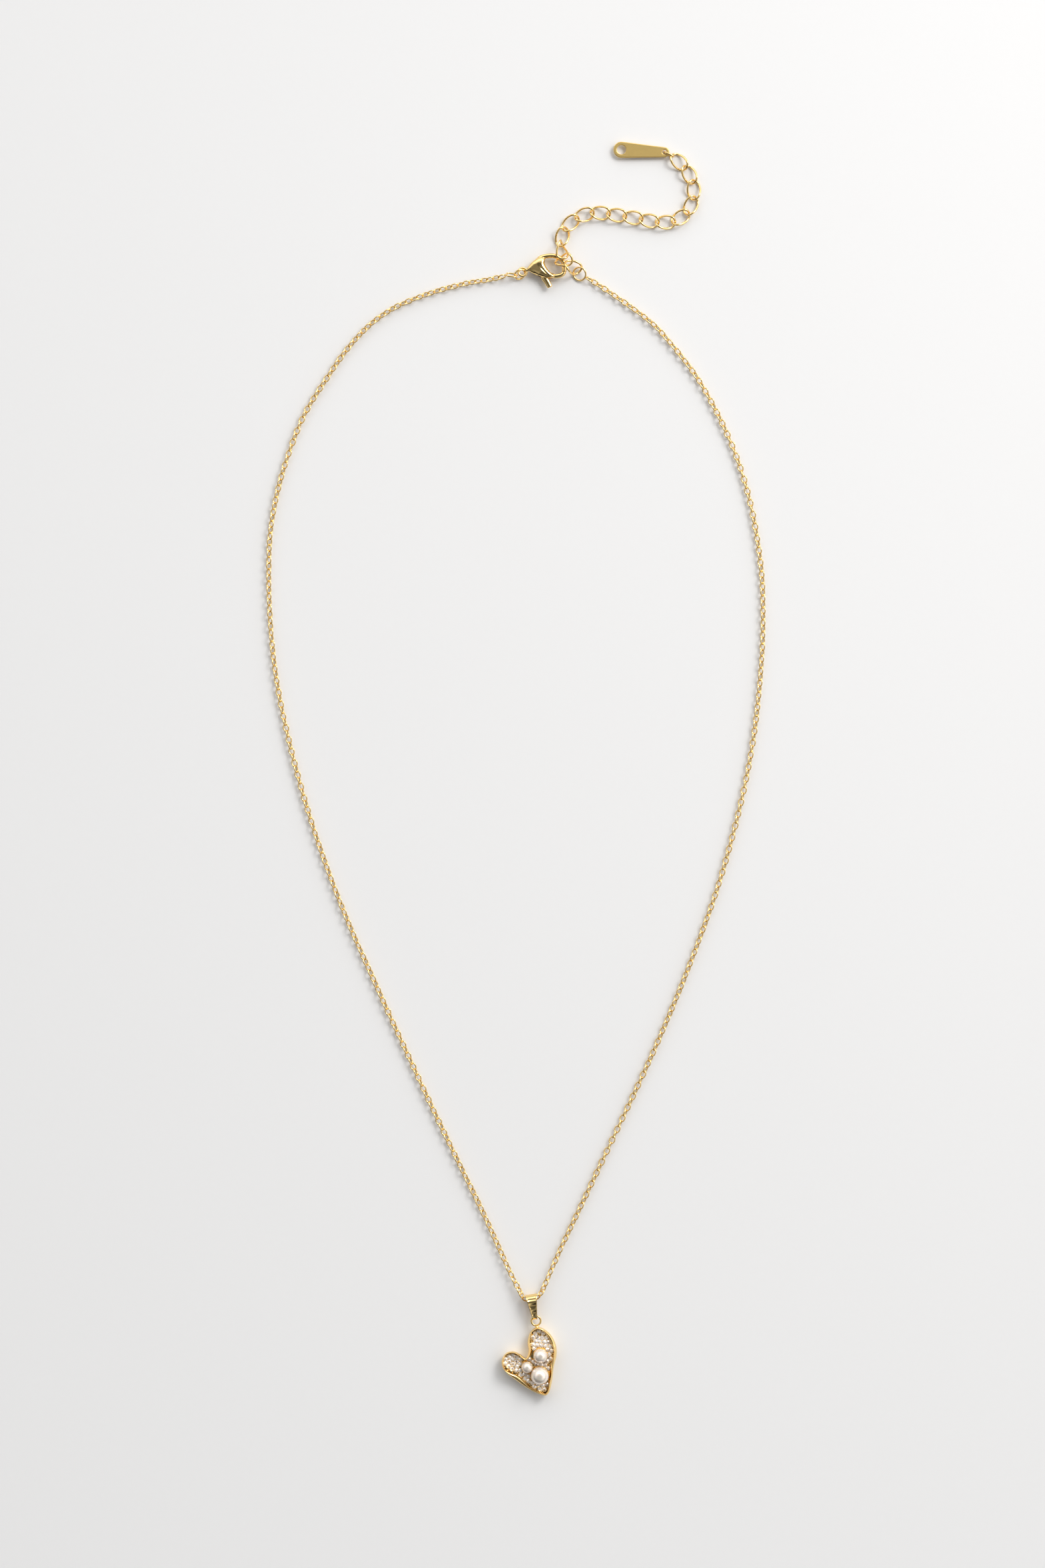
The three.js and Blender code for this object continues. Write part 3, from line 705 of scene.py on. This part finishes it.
class NECKLACE_OT_chain(bpy.types.Operator):
    """Makes every link of the fine cable chain, one piece for each jointed length"""
    bl_idname = "necklace.chain"
    bl_label = "Fine chain"

    def execute(self, context):
        sizes = context.scene.necklace_chain
        nothing_selected()
        bpy.ops.mesh.primitive_torus_add(
            major_radius=0.5, minor_radius=0.1, major_segments=14, minor_segments=5)
        pattern = bpy.context.object
        length, width = sizes.link_length - sizes.wire, sizes.link_width - sizes.wire
        for vertex in pattern.data.vertices:
            turn = math.atan2(vertex.co.y, vertex.co.x)
            core = Vector((0.5 * math.cos(turn), 0.5 * math.sin(turn), 0))
            skin = (vertex.co - core) * (sizes.wire / 0.2)
            vertex.co = Vector((core.x * length, core.y * width, 0)) + skin
        smooth(pattern)
        chance = random.Random(4)
        sides = (("left", raised(LEFT_ROUTE)), ("right", raised(RIGHT_ROUTE)))
        for side, route in sides:
            lengths = {}
            start = 0.42 * sizes.pitch
            for number, (position, along, span) in enumerate(link_places(route, sizes.pitch, start)):
                roll = 27 if number % 2 else -54
                roll += 14 * math.sin(number / 9.0) + chance.uniform(-9, 9)
                matrix = link_matrix(position, along, math.radians(roll))
                lengths.setdefault(span // STRIDE, []).append(copy_of(pattern, matrix))
            for index, links in lengths.items():
                node = f"chain_{side}_{index + 1:02d}"
                in_gold(joined(links), f"chain_links_{side}_{index + 1:02d}", body_of(node), node)
        centre = [(x, y, BAIL_LEVEL) for x, y in CENTRE_ROUTE]
        links = []
        places = link_places(centre, sizes.pitch, 0.5 * sizes.pitch)
        for number, (position, along, _) in enumerate(places):
            roll = 35 if number % 2 else -50
            links.append(copy_of(pattern, link_matrix(position, along, math.radians(roll))))
        in_gold(joined(links), "chain_links_centre", "chain_centre", "chain_centre")
        discard(pattern)
        return {"FINISHED"}


# ---------------------------------------------------------------- clasp and tag

def clasp_point(x, y, z):
    """A point of the clasp, given from the middle of its eye."""
    return (EYE[0] + x, EYE[1] + y, z)


def pillow(name, outline, spine, middle, rings=7):
    """A domed solid: an outline that closes over and under a spine of (x, y, rise)."""
    count = len(outline) * 4
    edge = [spline_point(outline, i // 4, (i % 4) / 4, True) for i in range(count)]
    ridge = [spline_point(spine, i, k / 8) for i in range(len(spine) - 1) for k in range(8)]
    targets = [min(ridge, key=lambda r: math.dist(r[:2], p[:2])) for p in edge]
    loops = []
    for side in (-1, 1):
        for step in range(rings):
            turn = (step + (0.0 if side > 0 else 1.0)) / rings * math.pi / 2
            share = 1 - math.cos(turn)
            lift = side * math.sin(turn) ** 0.65
            loop = [clasp_point(p[0] + (t[0] - p[0]) * share * 0.97,
                                p[1] + (t[1] - p[1]) * share * 0.97,
                                middle + t[2] * lift)
                    for p, t in zip(edge, targets)]
            loops.append((side * turn, loop))
    loops.sort(key=lambda item: item[0])
    rings_only = [loop for _, loop in loops]
    return mesh_piece(name, *lofted(rings_only, True, True))


def round_bar(name, line, squash, around=16):
    """A bar along a line of (x, y, z, radius), its section flattened upright by a share."""
    fine = [spline_point(line, i, k / 5) for i in range(len(line) - 1) for k in range(5)] + [line[-1]]
    rings = []
    for i, (x, y, z, radius) in enumerate(fine):
        before, after = fine[max(i - 1, 0)], fine[min(i + 1, len(fine) - 1)]
        along = Vector((after[0] - before[0], after[1] - before[1], 0)).normalized()
        side = Vector((along.y, -along.x, 0))
        ends = 0.5 if i in (0, len(fine) - 1) else 0.9 if i in (1, len(fine) - 2) else 1.0
        ring = []
        for k in range(around):
            turn = 2 * math.pi * k / around
            spot = Vector((x, y, 0)) + side * (radius * ends * math.cos(turn))
            ring.append(clasp_point(spot.x, spot.y, z + radius * ends * squash * math.sin(turn)))
        rings.append(ring)
    return mesh_piece(name, *lofted(rings, True, True))


def softened(obj, voxel, rounds):
    """One skin over everything in an object, its edges worn round."""
    remesh = obj.modifiers.new("melt", "REMESH")
    remesh.mode = "VOXEL"
    remesh.voxel_size = voxel
    soften = obj.modifiers.new("soften", "SMOOTH")
    soften.factor = 0.5
    soften.iterations = rounds
    apply_all(obj)
    smooth(obj)
    return obj


def cast_from(node, voxel, rounds):
    """A softened copy of a node: its edges are worn round as on a polished casting."""
    source = frame["nodes"][node]
    obj = source.copy()
    obj.data = source.data.copy()
    obj.parent = None
    obj.matrix_world = source.matrix_world
    bpy.context.scene.collection.objects.link(obj)
    take(obj)
    bpy.ops.object.mode_set(mode="EDIT")
    bpy.ops.mesh.select_all(action="SELECT")
    bpy.ops.mesh.remove_doubles(threshold=1e-7)
    bpy.ops.object.mode_set(mode="OBJECT")
    return softened(obj, voxel, rounds)


class NECKLACE_OT_clasp(bpy.types.Operator):
    """Makes the clasp's body and lever, and finishes its pin and spring"""
    bl_idname = "necklace.clasp"
    bl_label = "Clasp"

    def execute(self, context):
        cheek = pillow("cheek", CHEEK, CHEEK_SPINE, CLASP_MIDDLE)
        hook = round_bar("hook", HOOK_LINE, 1.15)
        eye = wire_loop(EYE_SIZE * MM, EYE_SIZE * MM, EYE_WIRE * MM)
        eye.data.transform(placing((*EYE, 1.1)))
        neck = round_bar("neck", NECK_LINE, 0.9)
        body = softened(joined([cheek, hook, eye, neck]), 0.055 * MM, 7)
        (x0, y0), (x1, y1), tall = SLOT
        nothing_selected()
        bpy.ops.mesh.primitive_cube_add(size=1)
        room = bpy.context.object
        room.data.transform(Matrix.Translation(Vector(
            clasp_point((x0 + x1) / 2, (y0 + y1) / 2, CLASP_MIDDLE)) * MM)
            @ Matrix.Diagonal(((x1 - x0) * MM, (y1 - y0) * MM, tall * MM, 1)))
        cut = body.modifiers.new("slot", "BOOLEAN")
        cut.object = room
        cut.solver = "EXACT"
        apply_all(body)
        discard(room)
        smooth(body, 60)
        in_gold(body, "clasp_casting", "clasp", "clasp_body")
        gate = round_bar("gate", GATE_LINE, 0.95)
        nub = round_bar("nub", NUB_LINE, 0.7)
        lever = softened(joined([gate, nub]), 0.05 * MM, 5)
        in_gold(lever, "clasp_gate", "lever", "clasp_lever")
        refinish("clasp_pin", polished_gold())
        refinish("clasp_spring", spring_steel())
        return {"FINISHED"}


class NECKLACE_OT_tag(bpy.types.Operator):
    """Makes the extender's tag and the link that holds it"""
    bl_idname = "necklace.tag"
    bl_label = "Tag"

    def execute(self, context):
        tag = cast_from("extender_tag", 0.06 * MM, 3)
        hand_over(tag, "extender_tag_plate", "extender_tag", "satin_gold", satin_gold(),
                  "extender_tag")
        low, high = (Vector(corner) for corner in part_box("tag_link"))
        middle = (low + high) / 2
        wire = context.scene.necklace_extender.ring_wire
        link = stadium_loop(*(side * MM for side in TAG_LINK_SIZE), wire)
        link.data.transform(placing((*(middle / MM), TAG_LINK_HEADING, 0, 90)))
        in_gold(link, "tag_link_wire", "tag_link", "tag_link")
        return {"FINISHED"}


# ---------------------------------------------------------------- pendant

def rim_samples(per_span=5):
    """The heart's outline and rim, sampled: (x, y, lean, width, crest)."""
    return [spline_point(HEART_RIM, i, k / per_span, True)
            for i in range(len(HEART_RIM)) for k in range(per_span)]


def inward(samples):
    """Inward direction at each sample and how far it may be followed there."""
    count = len(samples)
    result = []
    for i, here in enumerate(samples):
        before = Vector(samples[i - 3][:2])
        after = Vector(samples[(i + 3) % count][:2])
        along = (after - before).normalized()
        middle = (before + after) / 2
        sag = (Vector(here[:2]) - middle)
        normal = Vector((along.y, -along.x))
        depth = -sag.dot(normal)
        chord = (after - before).length / 2
        reach = (chord * chord + depth * depth) / (2 * depth) if depth > 1e-4 else 99.0
        result.append((normal, 0.85 * reach))
    return result


def rim_ring(samples, directions, offset, height):
    """One loop of points round the heart, moved inwards and lifted by functions of a sample."""
    ring = []
    for sample, (normal, reach) in zip(samples, directions):
        distance = min(offset(sample), reach)
        spot = Vector(sample[:2]) + normal * distance
        ring.append((spot.x, spot.y, height(sample)))
    return ring


def lofted(rings, cap_first, cap_last):
    """Points and faces of a surface through closed loops of points."""
    count = len(rings[0])
    points = [p for ring in rings for p in ring]
    faces = []
    for r in range(len(rings) - 1):
        for i in range(count):
            j = (i + 1) % count
            faces.append((r * count + i, r * count + j, (r + 1) * count + j, (r + 1) * count + i))
    if cap_first:
        faces.append(tuple(range(count)))
    if cap_last:
        faces.append(tuple(range((len(rings) - 1) * count, len(rings) * count)))
    return points, faces


class NECKLACE_OT_setting(bpy.types.Operator):
    """Makes the heart's dish with its rolled, ruffled rim, and the loop on top"""
    bl_idname = "necklace.setting"
    bl_label = "Heart setting"

    def execute(self, context):
        samples = rim_samples()
        directions = inward(samples)
        profile = [
            (lambda s: 0.75, lambda s: 0.22),
            (lambda s: 0.70, lambda s: 0.03),
            (lambda s: 0.48, lambda s: 0.02),
            (lambda s: 0.16, lambda s: 0.35),
            (lambda s: 0.02, lambda s: 0.95),
            (lambda s: 0.02 + 0.4 * s[2], lambda s: s[4] - 0.42 - 0.25 * s[3]),
            (lambda s: s[2] + 0.01, lambda s: s[4] - 0.14 - 0.3 * s[3]),
            (lambda s: s[2] + 0.12, lambda s: s[4] - 0.2 * s[3]),
            (lambda s: s[2] + 0.45 * s[3], lambda s: s[4] + 0.02),
            (lambda s: s[2] + 0.85 * s[3], lambda s: s[4] - 0.12),
            (lambda s: s[2] + s[3], lambda s: s[4] - 0.36),
            (lambda s: s[2] + s[3] + 0.02, lambda s: 1.2),
            (lambda s: s[2] + s[3] + 0.06, lambda s: DISH_FLOOR),
            (lambda s: s[2] + s[3] + 0.2, lambda s: DISH_FLOOR - 0.01),
        ]
        rings = [rim_ring(samples, directions, *pair) for pair in profile]
        dish = mesh_piece("dish", *lofted(rings, True, True))
        finer = dish.modifiers.new("finer", "SUBSURF")
        finer.levels = 1
        finer.render_levels = 1
        apply_all(dish)
        smooth(dish, 50)
        nothing_selected()
        bpy.ops.mesh.primitive_uv_sphere_add(segments=20, ring_count=12, radius=SOLDER_RADIUS * MM)
        solder = bpy.context.object
        solder.data.transform(placing(SOLDER_PLACE))
        smooth(solder)
        dish = joined([dish, solder])
        in_gold(dish, "heart_dish", "pendant", "heart_setting")
        loop = wire_loop(PENDANT_LOOP_SIZE * MM, PENDANT_LOOP_SIZE * MM, PENDANT_LOOP_WIRE * MM)
        loop.data.transform(placing(PENDANT_LOOP_PLACE))
        in_gold(loop, "pendant_ring", "pendant", "pendant_loop")
        return {"FINISHED"}


def brilliant(diameter):
    """One small cut stone: table, crown and pavilion, with foil on the pavilion."""
    radius = diameter / 2 / MM
    table = [(0.4 * radius * math.cos(a), 0.4 * radius * math.sin(a), 0.2)
             for a in (math.pi * k / 4 for k in range(8))]
    girdle = [(radius * math.cos(a), radius * math.sin(a), 0.0)
              for a in (math.pi * k / 8 for k in range(16))]
    points = table + girdle + [(0, 0, -0.3)]
    faces = [tuple(range(8))]
    for k in range(8):
        nxt = (k + 1) % 8
        left, mid, right = (8 + (2 * k + step) % 16 for step in (0, 1, 2))
        faces += [(k, left, mid), (k, mid, nxt), (nxt, mid, right)]
    crown = len(faces)
    faces += [(8 + (k + 1) % 16, 8 + k, 24) for k in range(16)]
    obj = mesh_piece("stone", points, faces)
    obj.data.materials.append(stone_crown())
    obj.data.materials.append(stone_foil())
    for polygon in obj.data.polygons:
        polygon.material_index = 0 if polygon.index < crown else 1
    return obj


def inside_heart(x, y, outline):
    """Whether a point lies inside the heart."""
    inside = False
    for (x0, y0, *_), (x1, y1, *_) in zip(outline, outline[1:] + outline[:1]):
        if (y0 > y) != (y1 > y) and x < (x1 - x0) * (y - y0) / (y1 - y0) + x0:
            inside = not inside
    return inside


def clear_of_edges(x, y, outline):
    """Distance in mm from a point to the inside of the rim and to the nearest pearl's collar."""
    rim = min(math.hypot(x - s[0], y - s[1]) - s[2] - s[3] for s in outline)
    seats = min(math.hypot(x - px, y - py) - 0.98 * r for px, py, r in PEARLS.values())
    return min(rim, seats)


def grid(step, columns, rows, shift=0.0):
    """Points of a square grid over the heart, column by column, in mm."""
    return [(i * step + shift, HEART_FOOT + j * step) for i in columns for j in rows]


def stone_spots(spacing):
    """Centres of the stones, packed close: each next one goes where it touches the most."""
    outline = rim_samples()
    open_spots = []
    for x, y in grid(0.055, range(-58, 150), range(252)):
        if inside_heart(x, y, outline):
            room = clear_of_edges(x, y, outline) - spacing / 2
            if room > -0.07:
                open_spots.append([0.8 * min(max(room, 0), 0.5), x, y, 1.6, 1.6])
    spots = []
    while open_spots:
        _, x, y, _, _ = min(open_spots, key=lambda s: s[0] + s[3] + s[4])
        spots.append((x, y))
        kept = []
        for spot in open_spots:
            away = math.hypot(spot[1] - x, spot[2] - y)
            if away < spacing:
                continue
            if away < spot[3]:
                spot[3], spot[4] = away, spot[3]
            elif away < spot[4]:
                spot[4] = away
            kept.append(spot)
        open_spots = kept
    return spots, outline


class NECKLACE_OT_stones(bpy.types.Operator):
    """Sets the small stones in the dish, with grains of metal between them"""
    bl_idname = "necklace.stones"
    bl_label = "Stones"

    def execute(self, context):
        sizes = context.scene.necklace_pendant
        spots, outline = stone_spots(sizes.stone_spacing / MM)
        chance = random.Random(11)
        pattern = brilliant(sizes.stone)
        girdle = DISH_FLOOR + STONE_RISE
        stones = []
        for x, y in spots:
            heading, pitch, roll = (chance.uniform(*span) for span in ((0, 45), (-11, 11), (-11, 11)))
            stones.append(copy_of(pattern, placing((x, y, girdle, heading, pitch, roll))))
        discard(pattern)
        pave = joined(stones)
        # Each facet gets a random value that sets its painted light: a bright painted glint or a dark
        # painted reflection.
        painted_facet_light = pave.data.attributes.new("painted_facet_light", "FLOAT", "FACE")
        for value in painted_facet_light.data:
            value.value = chance.random() ** 0.8
        hand_over(pave, "pave_stones", "pendant", "stone", None, "stone_pave")

        nothing_selected()
        bpy.ops.mesh.primitive_uv_sphere_add(segments=8, ring_count=5, radius=sizes.bead / 2)
        grain = bpy.context.object
        smooth(grain)
        grains = []
        taken = []
        least = sizes.stone_spacing / MM / 2 + 0.04
        for x, y in grid(0.08, range(-40, 105), range(175), 0.03):
            if not inside_heart(x, y, outline) or clear_of_edges(x, y, outline) < 0.05:
                continue
            near = sorted(math.hypot(x - a, y - b) for a, b in spots)[:2]
            if near[0] < least or near[1] > least + 0.32:
                continue
            if all(math.hypot(x - a, y - b) >= 0.3 for a, b in taken):
                taken.append((x, y))
                grains.append(copy_of(grain, placing((x, y, girdle + 0.05))))
        discard(grain)
        in_gold(joined(grains), "pave_grains", "pendant")
        return {"FINISHED"}


class NECKLACE_OT_pearls(bpy.types.Operator):
    """Makes the three pearls and their beaded seats"""
    bl_idname = "necklace.pearls"
    bl_label = "Pearls"

    def execute(self, context):
        for name, (x, y, radius) in PEARLS.items():
            middle = DISH_FLOOR - 0.03 + PEARL_LIFT + radius
            nothing_selected()
            bpy.ops.mesh.primitive_uv_sphere_add(segments=56, ring_count=28, radius=radius * MM)
            ball = bpy.context.object
            for vertex in ball.data.vertices:
                vertex.co.z = max(vertex.co.z, -PEARL_FLAT * radius * MM)
            ball.data.transform(placing((x, y, middle)))
            smooth(ball)
            hand_over(ball, f"pearl_ball_{name}", "pendant", "pearl", pearl(), f"pearl_{name}")

            nothing_selected()
            bpy.ops.mesh.primitive_cylinder_add(
                vertices=40, radius=0.62 * radius * MM, depth=0.5 * radius * MM,
                end_fill_type="NGON")
            cup = bpy.context.object
            bpy.ops.object.mode_set(mode="EDIT")
            bpy.ops.mesh.select_all(action="DESELECT")
            bpy.ops.object.mode_set(mode="OBJECT")
            for polygon in cup.data.polygons:
                polygon.select = polygon.normal.z > 0.9
            bpy.ops.object.mode_set(mode="EDIT")
            wider = 0.95 / 0.62
            bpy.ops.transform.resize(value=(wider, wider, 1))
            bpy.ops.mesh.inset(thickness=0.16 * radius * MM)
            bpy.ops.transform.translate(value=(0, 0, -0.2 * radius * MM))
            bpy.ops.object.mode_set(mode="OBJECT")
            edge = cup.modifiers.new("edge", "BEVEL")
            edge.width = 0.03 * radius * MM
            edge.segments = 2
            apply_all(cup)
            top = middle - 0.5 * radius
            cup.data.transform(placing((x, y, top - 0.25 * radius)))
            smooth(cup, 40)

            bpy.ops.mesh.primitive_uv_sphere_add(segments=8, ring_count=5, radius=COLLAR_BEAD * MM)
            bead = bpy.context.object
            smooth(bead)
            collar = 0.97 * radius
            count = int(2 * math.pi * collar / COLLAR_PITCH)
            beads = [cup]
            for k in range(count):
                turn = 2 * math.pi * k / count
                spot = (x + collar * math.cos(turn), y + collar * math.sin(turn), top + 0.06)
                beads.append(copy_of(bead, placing(spot)))
            discard(bead)
            in_gold(joined(beads), f"beaded_seat_{name}", "pendant", f"pearl_seat_{name}")
        return {"FINISHED"}


def bail_path(length, depth, foot, steps=26):
    """The strip's middle line in side view: round the head, down, round the foot and back up."""
    head = depth / 2
    span = length - head - foot
    lean = math.asin((head - foot) / span)
    line = []
    for k in range(steps + 1):
        turn = math.pi / 2 - lean + (math.pi + 2 * lean) * k / steps
        line.append((head + head * math.cos(turn), head * math.sin(turn),
                     math.cos(turn), math.sin(turn)))
    for k in range(steps // 2 + 1):
        turn = -math.pi / 2 + lean + (math.pi - 2 * lean) * k / (steps // 2)
        line.append((head + span + foot * math.cos(turn), foot * math.sin(turn),
                     math.cos(turn), math.sin(turn)))
    return line


class NECKLACE_OT_bail(bpy.types.Operator):
    """Makes the folded bail with its raised edges"""
    bl_idname = "necklace.bail"
    bl_label = "Bail"

    def execute(self, context):
        sizes = context.scene.necklace_pendant
        length, depth, strip = (v / MM for v in (sizes.bail_length, sizes.bail_depth, sizes.bail_strip))
        line = bail_path(length, depth, BAIL_FOOT)
        head_width, foot_width = BAIL_WIDTHS
        wave_height, wave_start, wave_length = BAIL_WAVE
        full = []
        for a, b in zip(line, line[1:] + line[:1]):
            gap = math.hypot(b[0] - a[0], b[1] - a[1])
            parts = max(1, int(gap / 0.25))
            for k in range(parts):
                t = k / parts
                full.append(tuple(p + (q - p) * t for p, q in zip(a, b)))
        rings = []
        for along, height, out_x, out_z in full:
            half = 0.5 * (head_width + (foot_width - head_width) * along / length)
            wave = 0.0
            if out_z > 0.9:
                wave = wave_height * math.sin(2 * math.pi * (along - wave_start) / wave_length)
            section = [(-half, -strip), (-half, -0.02), (-half + 0.05, 0.0), (-half + 0.15, -0.02),
                       (-half + 0.24, wave - 0.10), (0.0, wave - 0.11), (half - 0.24, wave - 0.10),
                       (half - 0.16, -0.02), (half - 0.05, 0.0), (half, -0.02), (half, -strip)]
            rings.append([(along + out_x * lift, across, height + out_z * lift)
                          for across, lift in section])
        count = len(rings[0])
        points = [p for ring in rings for p in ring]
        faces = []
        for r in range(len(rings)):
            s = (r + 1) % len(rings)
            for i in range(count):
                j = (i + 1) % count
                faces.append((r * count + i, r * count + j, s * count + j, s * count + i))
        bail = mesh_piece("bail_strip", points, faces)
        bail.data.transform(placing((*BAIL_PLACE, depth / 2 + 0.01, BAIL_LEAN - 90)))
        smooth(bail, 40)
        in_gold(bail, "bail_strip", "bail", "bail")
        return {"FINISHED"}


# ---------------------------------------------------------------- stage

def soft_light(name, place, size, energy, colour=(1, 1, 1)):
    """A square soft light that looks at the middle of the necklace."""
    data = bpy.data.lights.new(name, "AREA")
    data.size = size
    data.energy = energy
    data.color = colour
    lamp = bpy.data.objects.new(name, data)
    bpy.context.scene.collection.objects.link(lamp)
    lamp.location = place
    lamp.rotation_euler = (-Vector(place)).to_track_quat("-Z", "Y").to_euler()


def surroundings():
    """The room: brightest at half height, dimmer overhead and at the horizon."""
    world = bpy.data.worlds.new("studio")
    bpy.context.scene.world = world
    world.use_nodes = True
    nodes = world.node_tree.nodes
    links = world.node_tree.links
    place = nodes.new("ShaderNodeTexCoord")
    split = nodes.new("ShaderNodeSeparateXYZ")
    ramp = nodes.new("ShaderNodeValToRGB")
    links.new(place.outputs["Generated"], split.inputs["Vector"])
    links.new(split.outputs["Z"], ramp.inputs["Fac"])
    links.new(ramp.outputs["Color"], nodes["Background"].inputs["Color"])
    lean = nodes.new("ShaderNodeVectorMath")
    lean.operation = "DOT_PRODUCT"
    lean.inputs[1].default_value = (0.35, 0.85, 0.0)
    strength = nodes.new("ShaderNodeMapRange")
    strength.inputs["From Min"].default_value = -0.75
    strength.inputs["From Max"].default_value = 0.75
    strength.inputs["To Min"].default_value = 0.03
    strength.inputs["To Max"].default_value = 1.88
    links.new(place.outputs["Generated"], lean.inputs[0])
    links.new(lean.outputs["Value"], strength.inputs["Value"])
    links.new(strength.outputs["Result"], nodes["Background"].inputs["Strength"])
    stops = ramp.color_ramp.elements
    stops[0].position = 0.0
    stops[0].color = (0.05, 0.045, 0.04, 1)
    stops[1].position = 1.0
    stops[1].color = (0.10, 0.10, 0.10, 1)
    for position, shade in ROOM_SHADES:
        stop = stops.new(position)
        stop.color = (shade, shade * 0.995, shade * 0.985, 1)


class NECKLACE_OT_stage(bpy.types.Operator):
    """Makes the floor, the lights, the room and the camera"""
    bl_idname = "necklace.stage"
    bl_label = "Stage"

    def execute(self, context):
        nothing_selected()
        bpy.ops.mesh.primitive_plane_add(size=3.0, location=(0, 0, 0))
        board = bpy.context.object
        board.name = "board"
        board.data.materials.append(pale_board())
        soft_light("key", (0.42, 0.40, 0.50), 0.30, 2.45, (1.0, 0.985, 0.965))
        surroundings()

        data = bpy.data.cameras.new("camera")
        data.lens = 85
        data.sensor_width = 36
        data.clip_start = 0.01
        camera = bpy.data.objects.new("camera", data)
        context.scene.collection.objects.link(camera)
        camera.location = CAMERA_PLACE
        context.scene.camera = camera
        context.scene.view_settings.view_transform = "Standard"
        nothing_selected()
        return {"FINISHED"}


class NECKLACE_PT_sidebar(bpy.types.Panel):
    """Lists the necklace's pieces and sizes"""
    bl_label = "Pearl heart necklace"
    bl_idname = "NECKLACE_PT_sidebar"
    bl_space_type = "VIEW_3D"
    bl_region_type = "UI"
    bl_category = "Necklace"

    def draw(self, context):
        column = self.layout.column()
        for operator in OPERATORS:
            column.operator(operator.bl_idname)
        for name, group in SETTINGS.items():
            box = self.layout.box()
            for key in group.__annotations__:
                box.prop(getattr(context.scene, name), key)


SETTINGS = {
    "necklace_chain": ChainSizes,
    "necklace_extender": ExtenderSizes,
    "necklace_pendant": PendantSizes,
    "necklace_colours": NecklaceColours,
}
OPERATORS = (
    NECKLACE_OT_stage, NECKLACE_OT_chain, NECKLACE_OT_rings, NECKLACE_OT_extender,
    NECKLACE_OT_clasp, NECKLACE_OT_tag, NECKLACE_OT_bail, NECKLACE_OT_setting,
    NECKLACE_OT_stones, NECKLACE_OT_pearls,
)


def register():
    """Registers the classes and gives the scene its settings."""
    for name, group in SETTINGS.items():
        bpy.utils.register_class(group)
        setattr(bpy.types.Scene, name, bpy.props.PointerProperty(type=group))
    for cls in (*OPERATORS, NECKLACE_PT_sidebar):
        bpy.utils.register_class(cls)


def unregister():
    """Takes the classes and the settings away again."""
    for cls in reversed((*OPERATORS, NECKLACE_PT_sidebar)):
        bpy.utils.unregister_class(cls)
    for name, group in SETTINGS.items():
        delattr(bpy.types.Scene, name)
        bpy.utils.unregister_class(group)


def main():
    """Makes the whole necklace."""
    register()
    bpy.ops.necklace.stage()
    bpy.ops.necklace.chain()
    bpy.ops.necklace.rings()
    bpy.ops.necklace.extender()
    bpy.ops.necklace.clasp()
    bpy.ops.necklace.tag()
    bpy.ops.necklace.bail()
    bpy.ops.necklace.setting()
    bpy.ops.necklace.stones()
    bpy.ops.necklace.pearls()


if __name__ == "__main__":
    main()
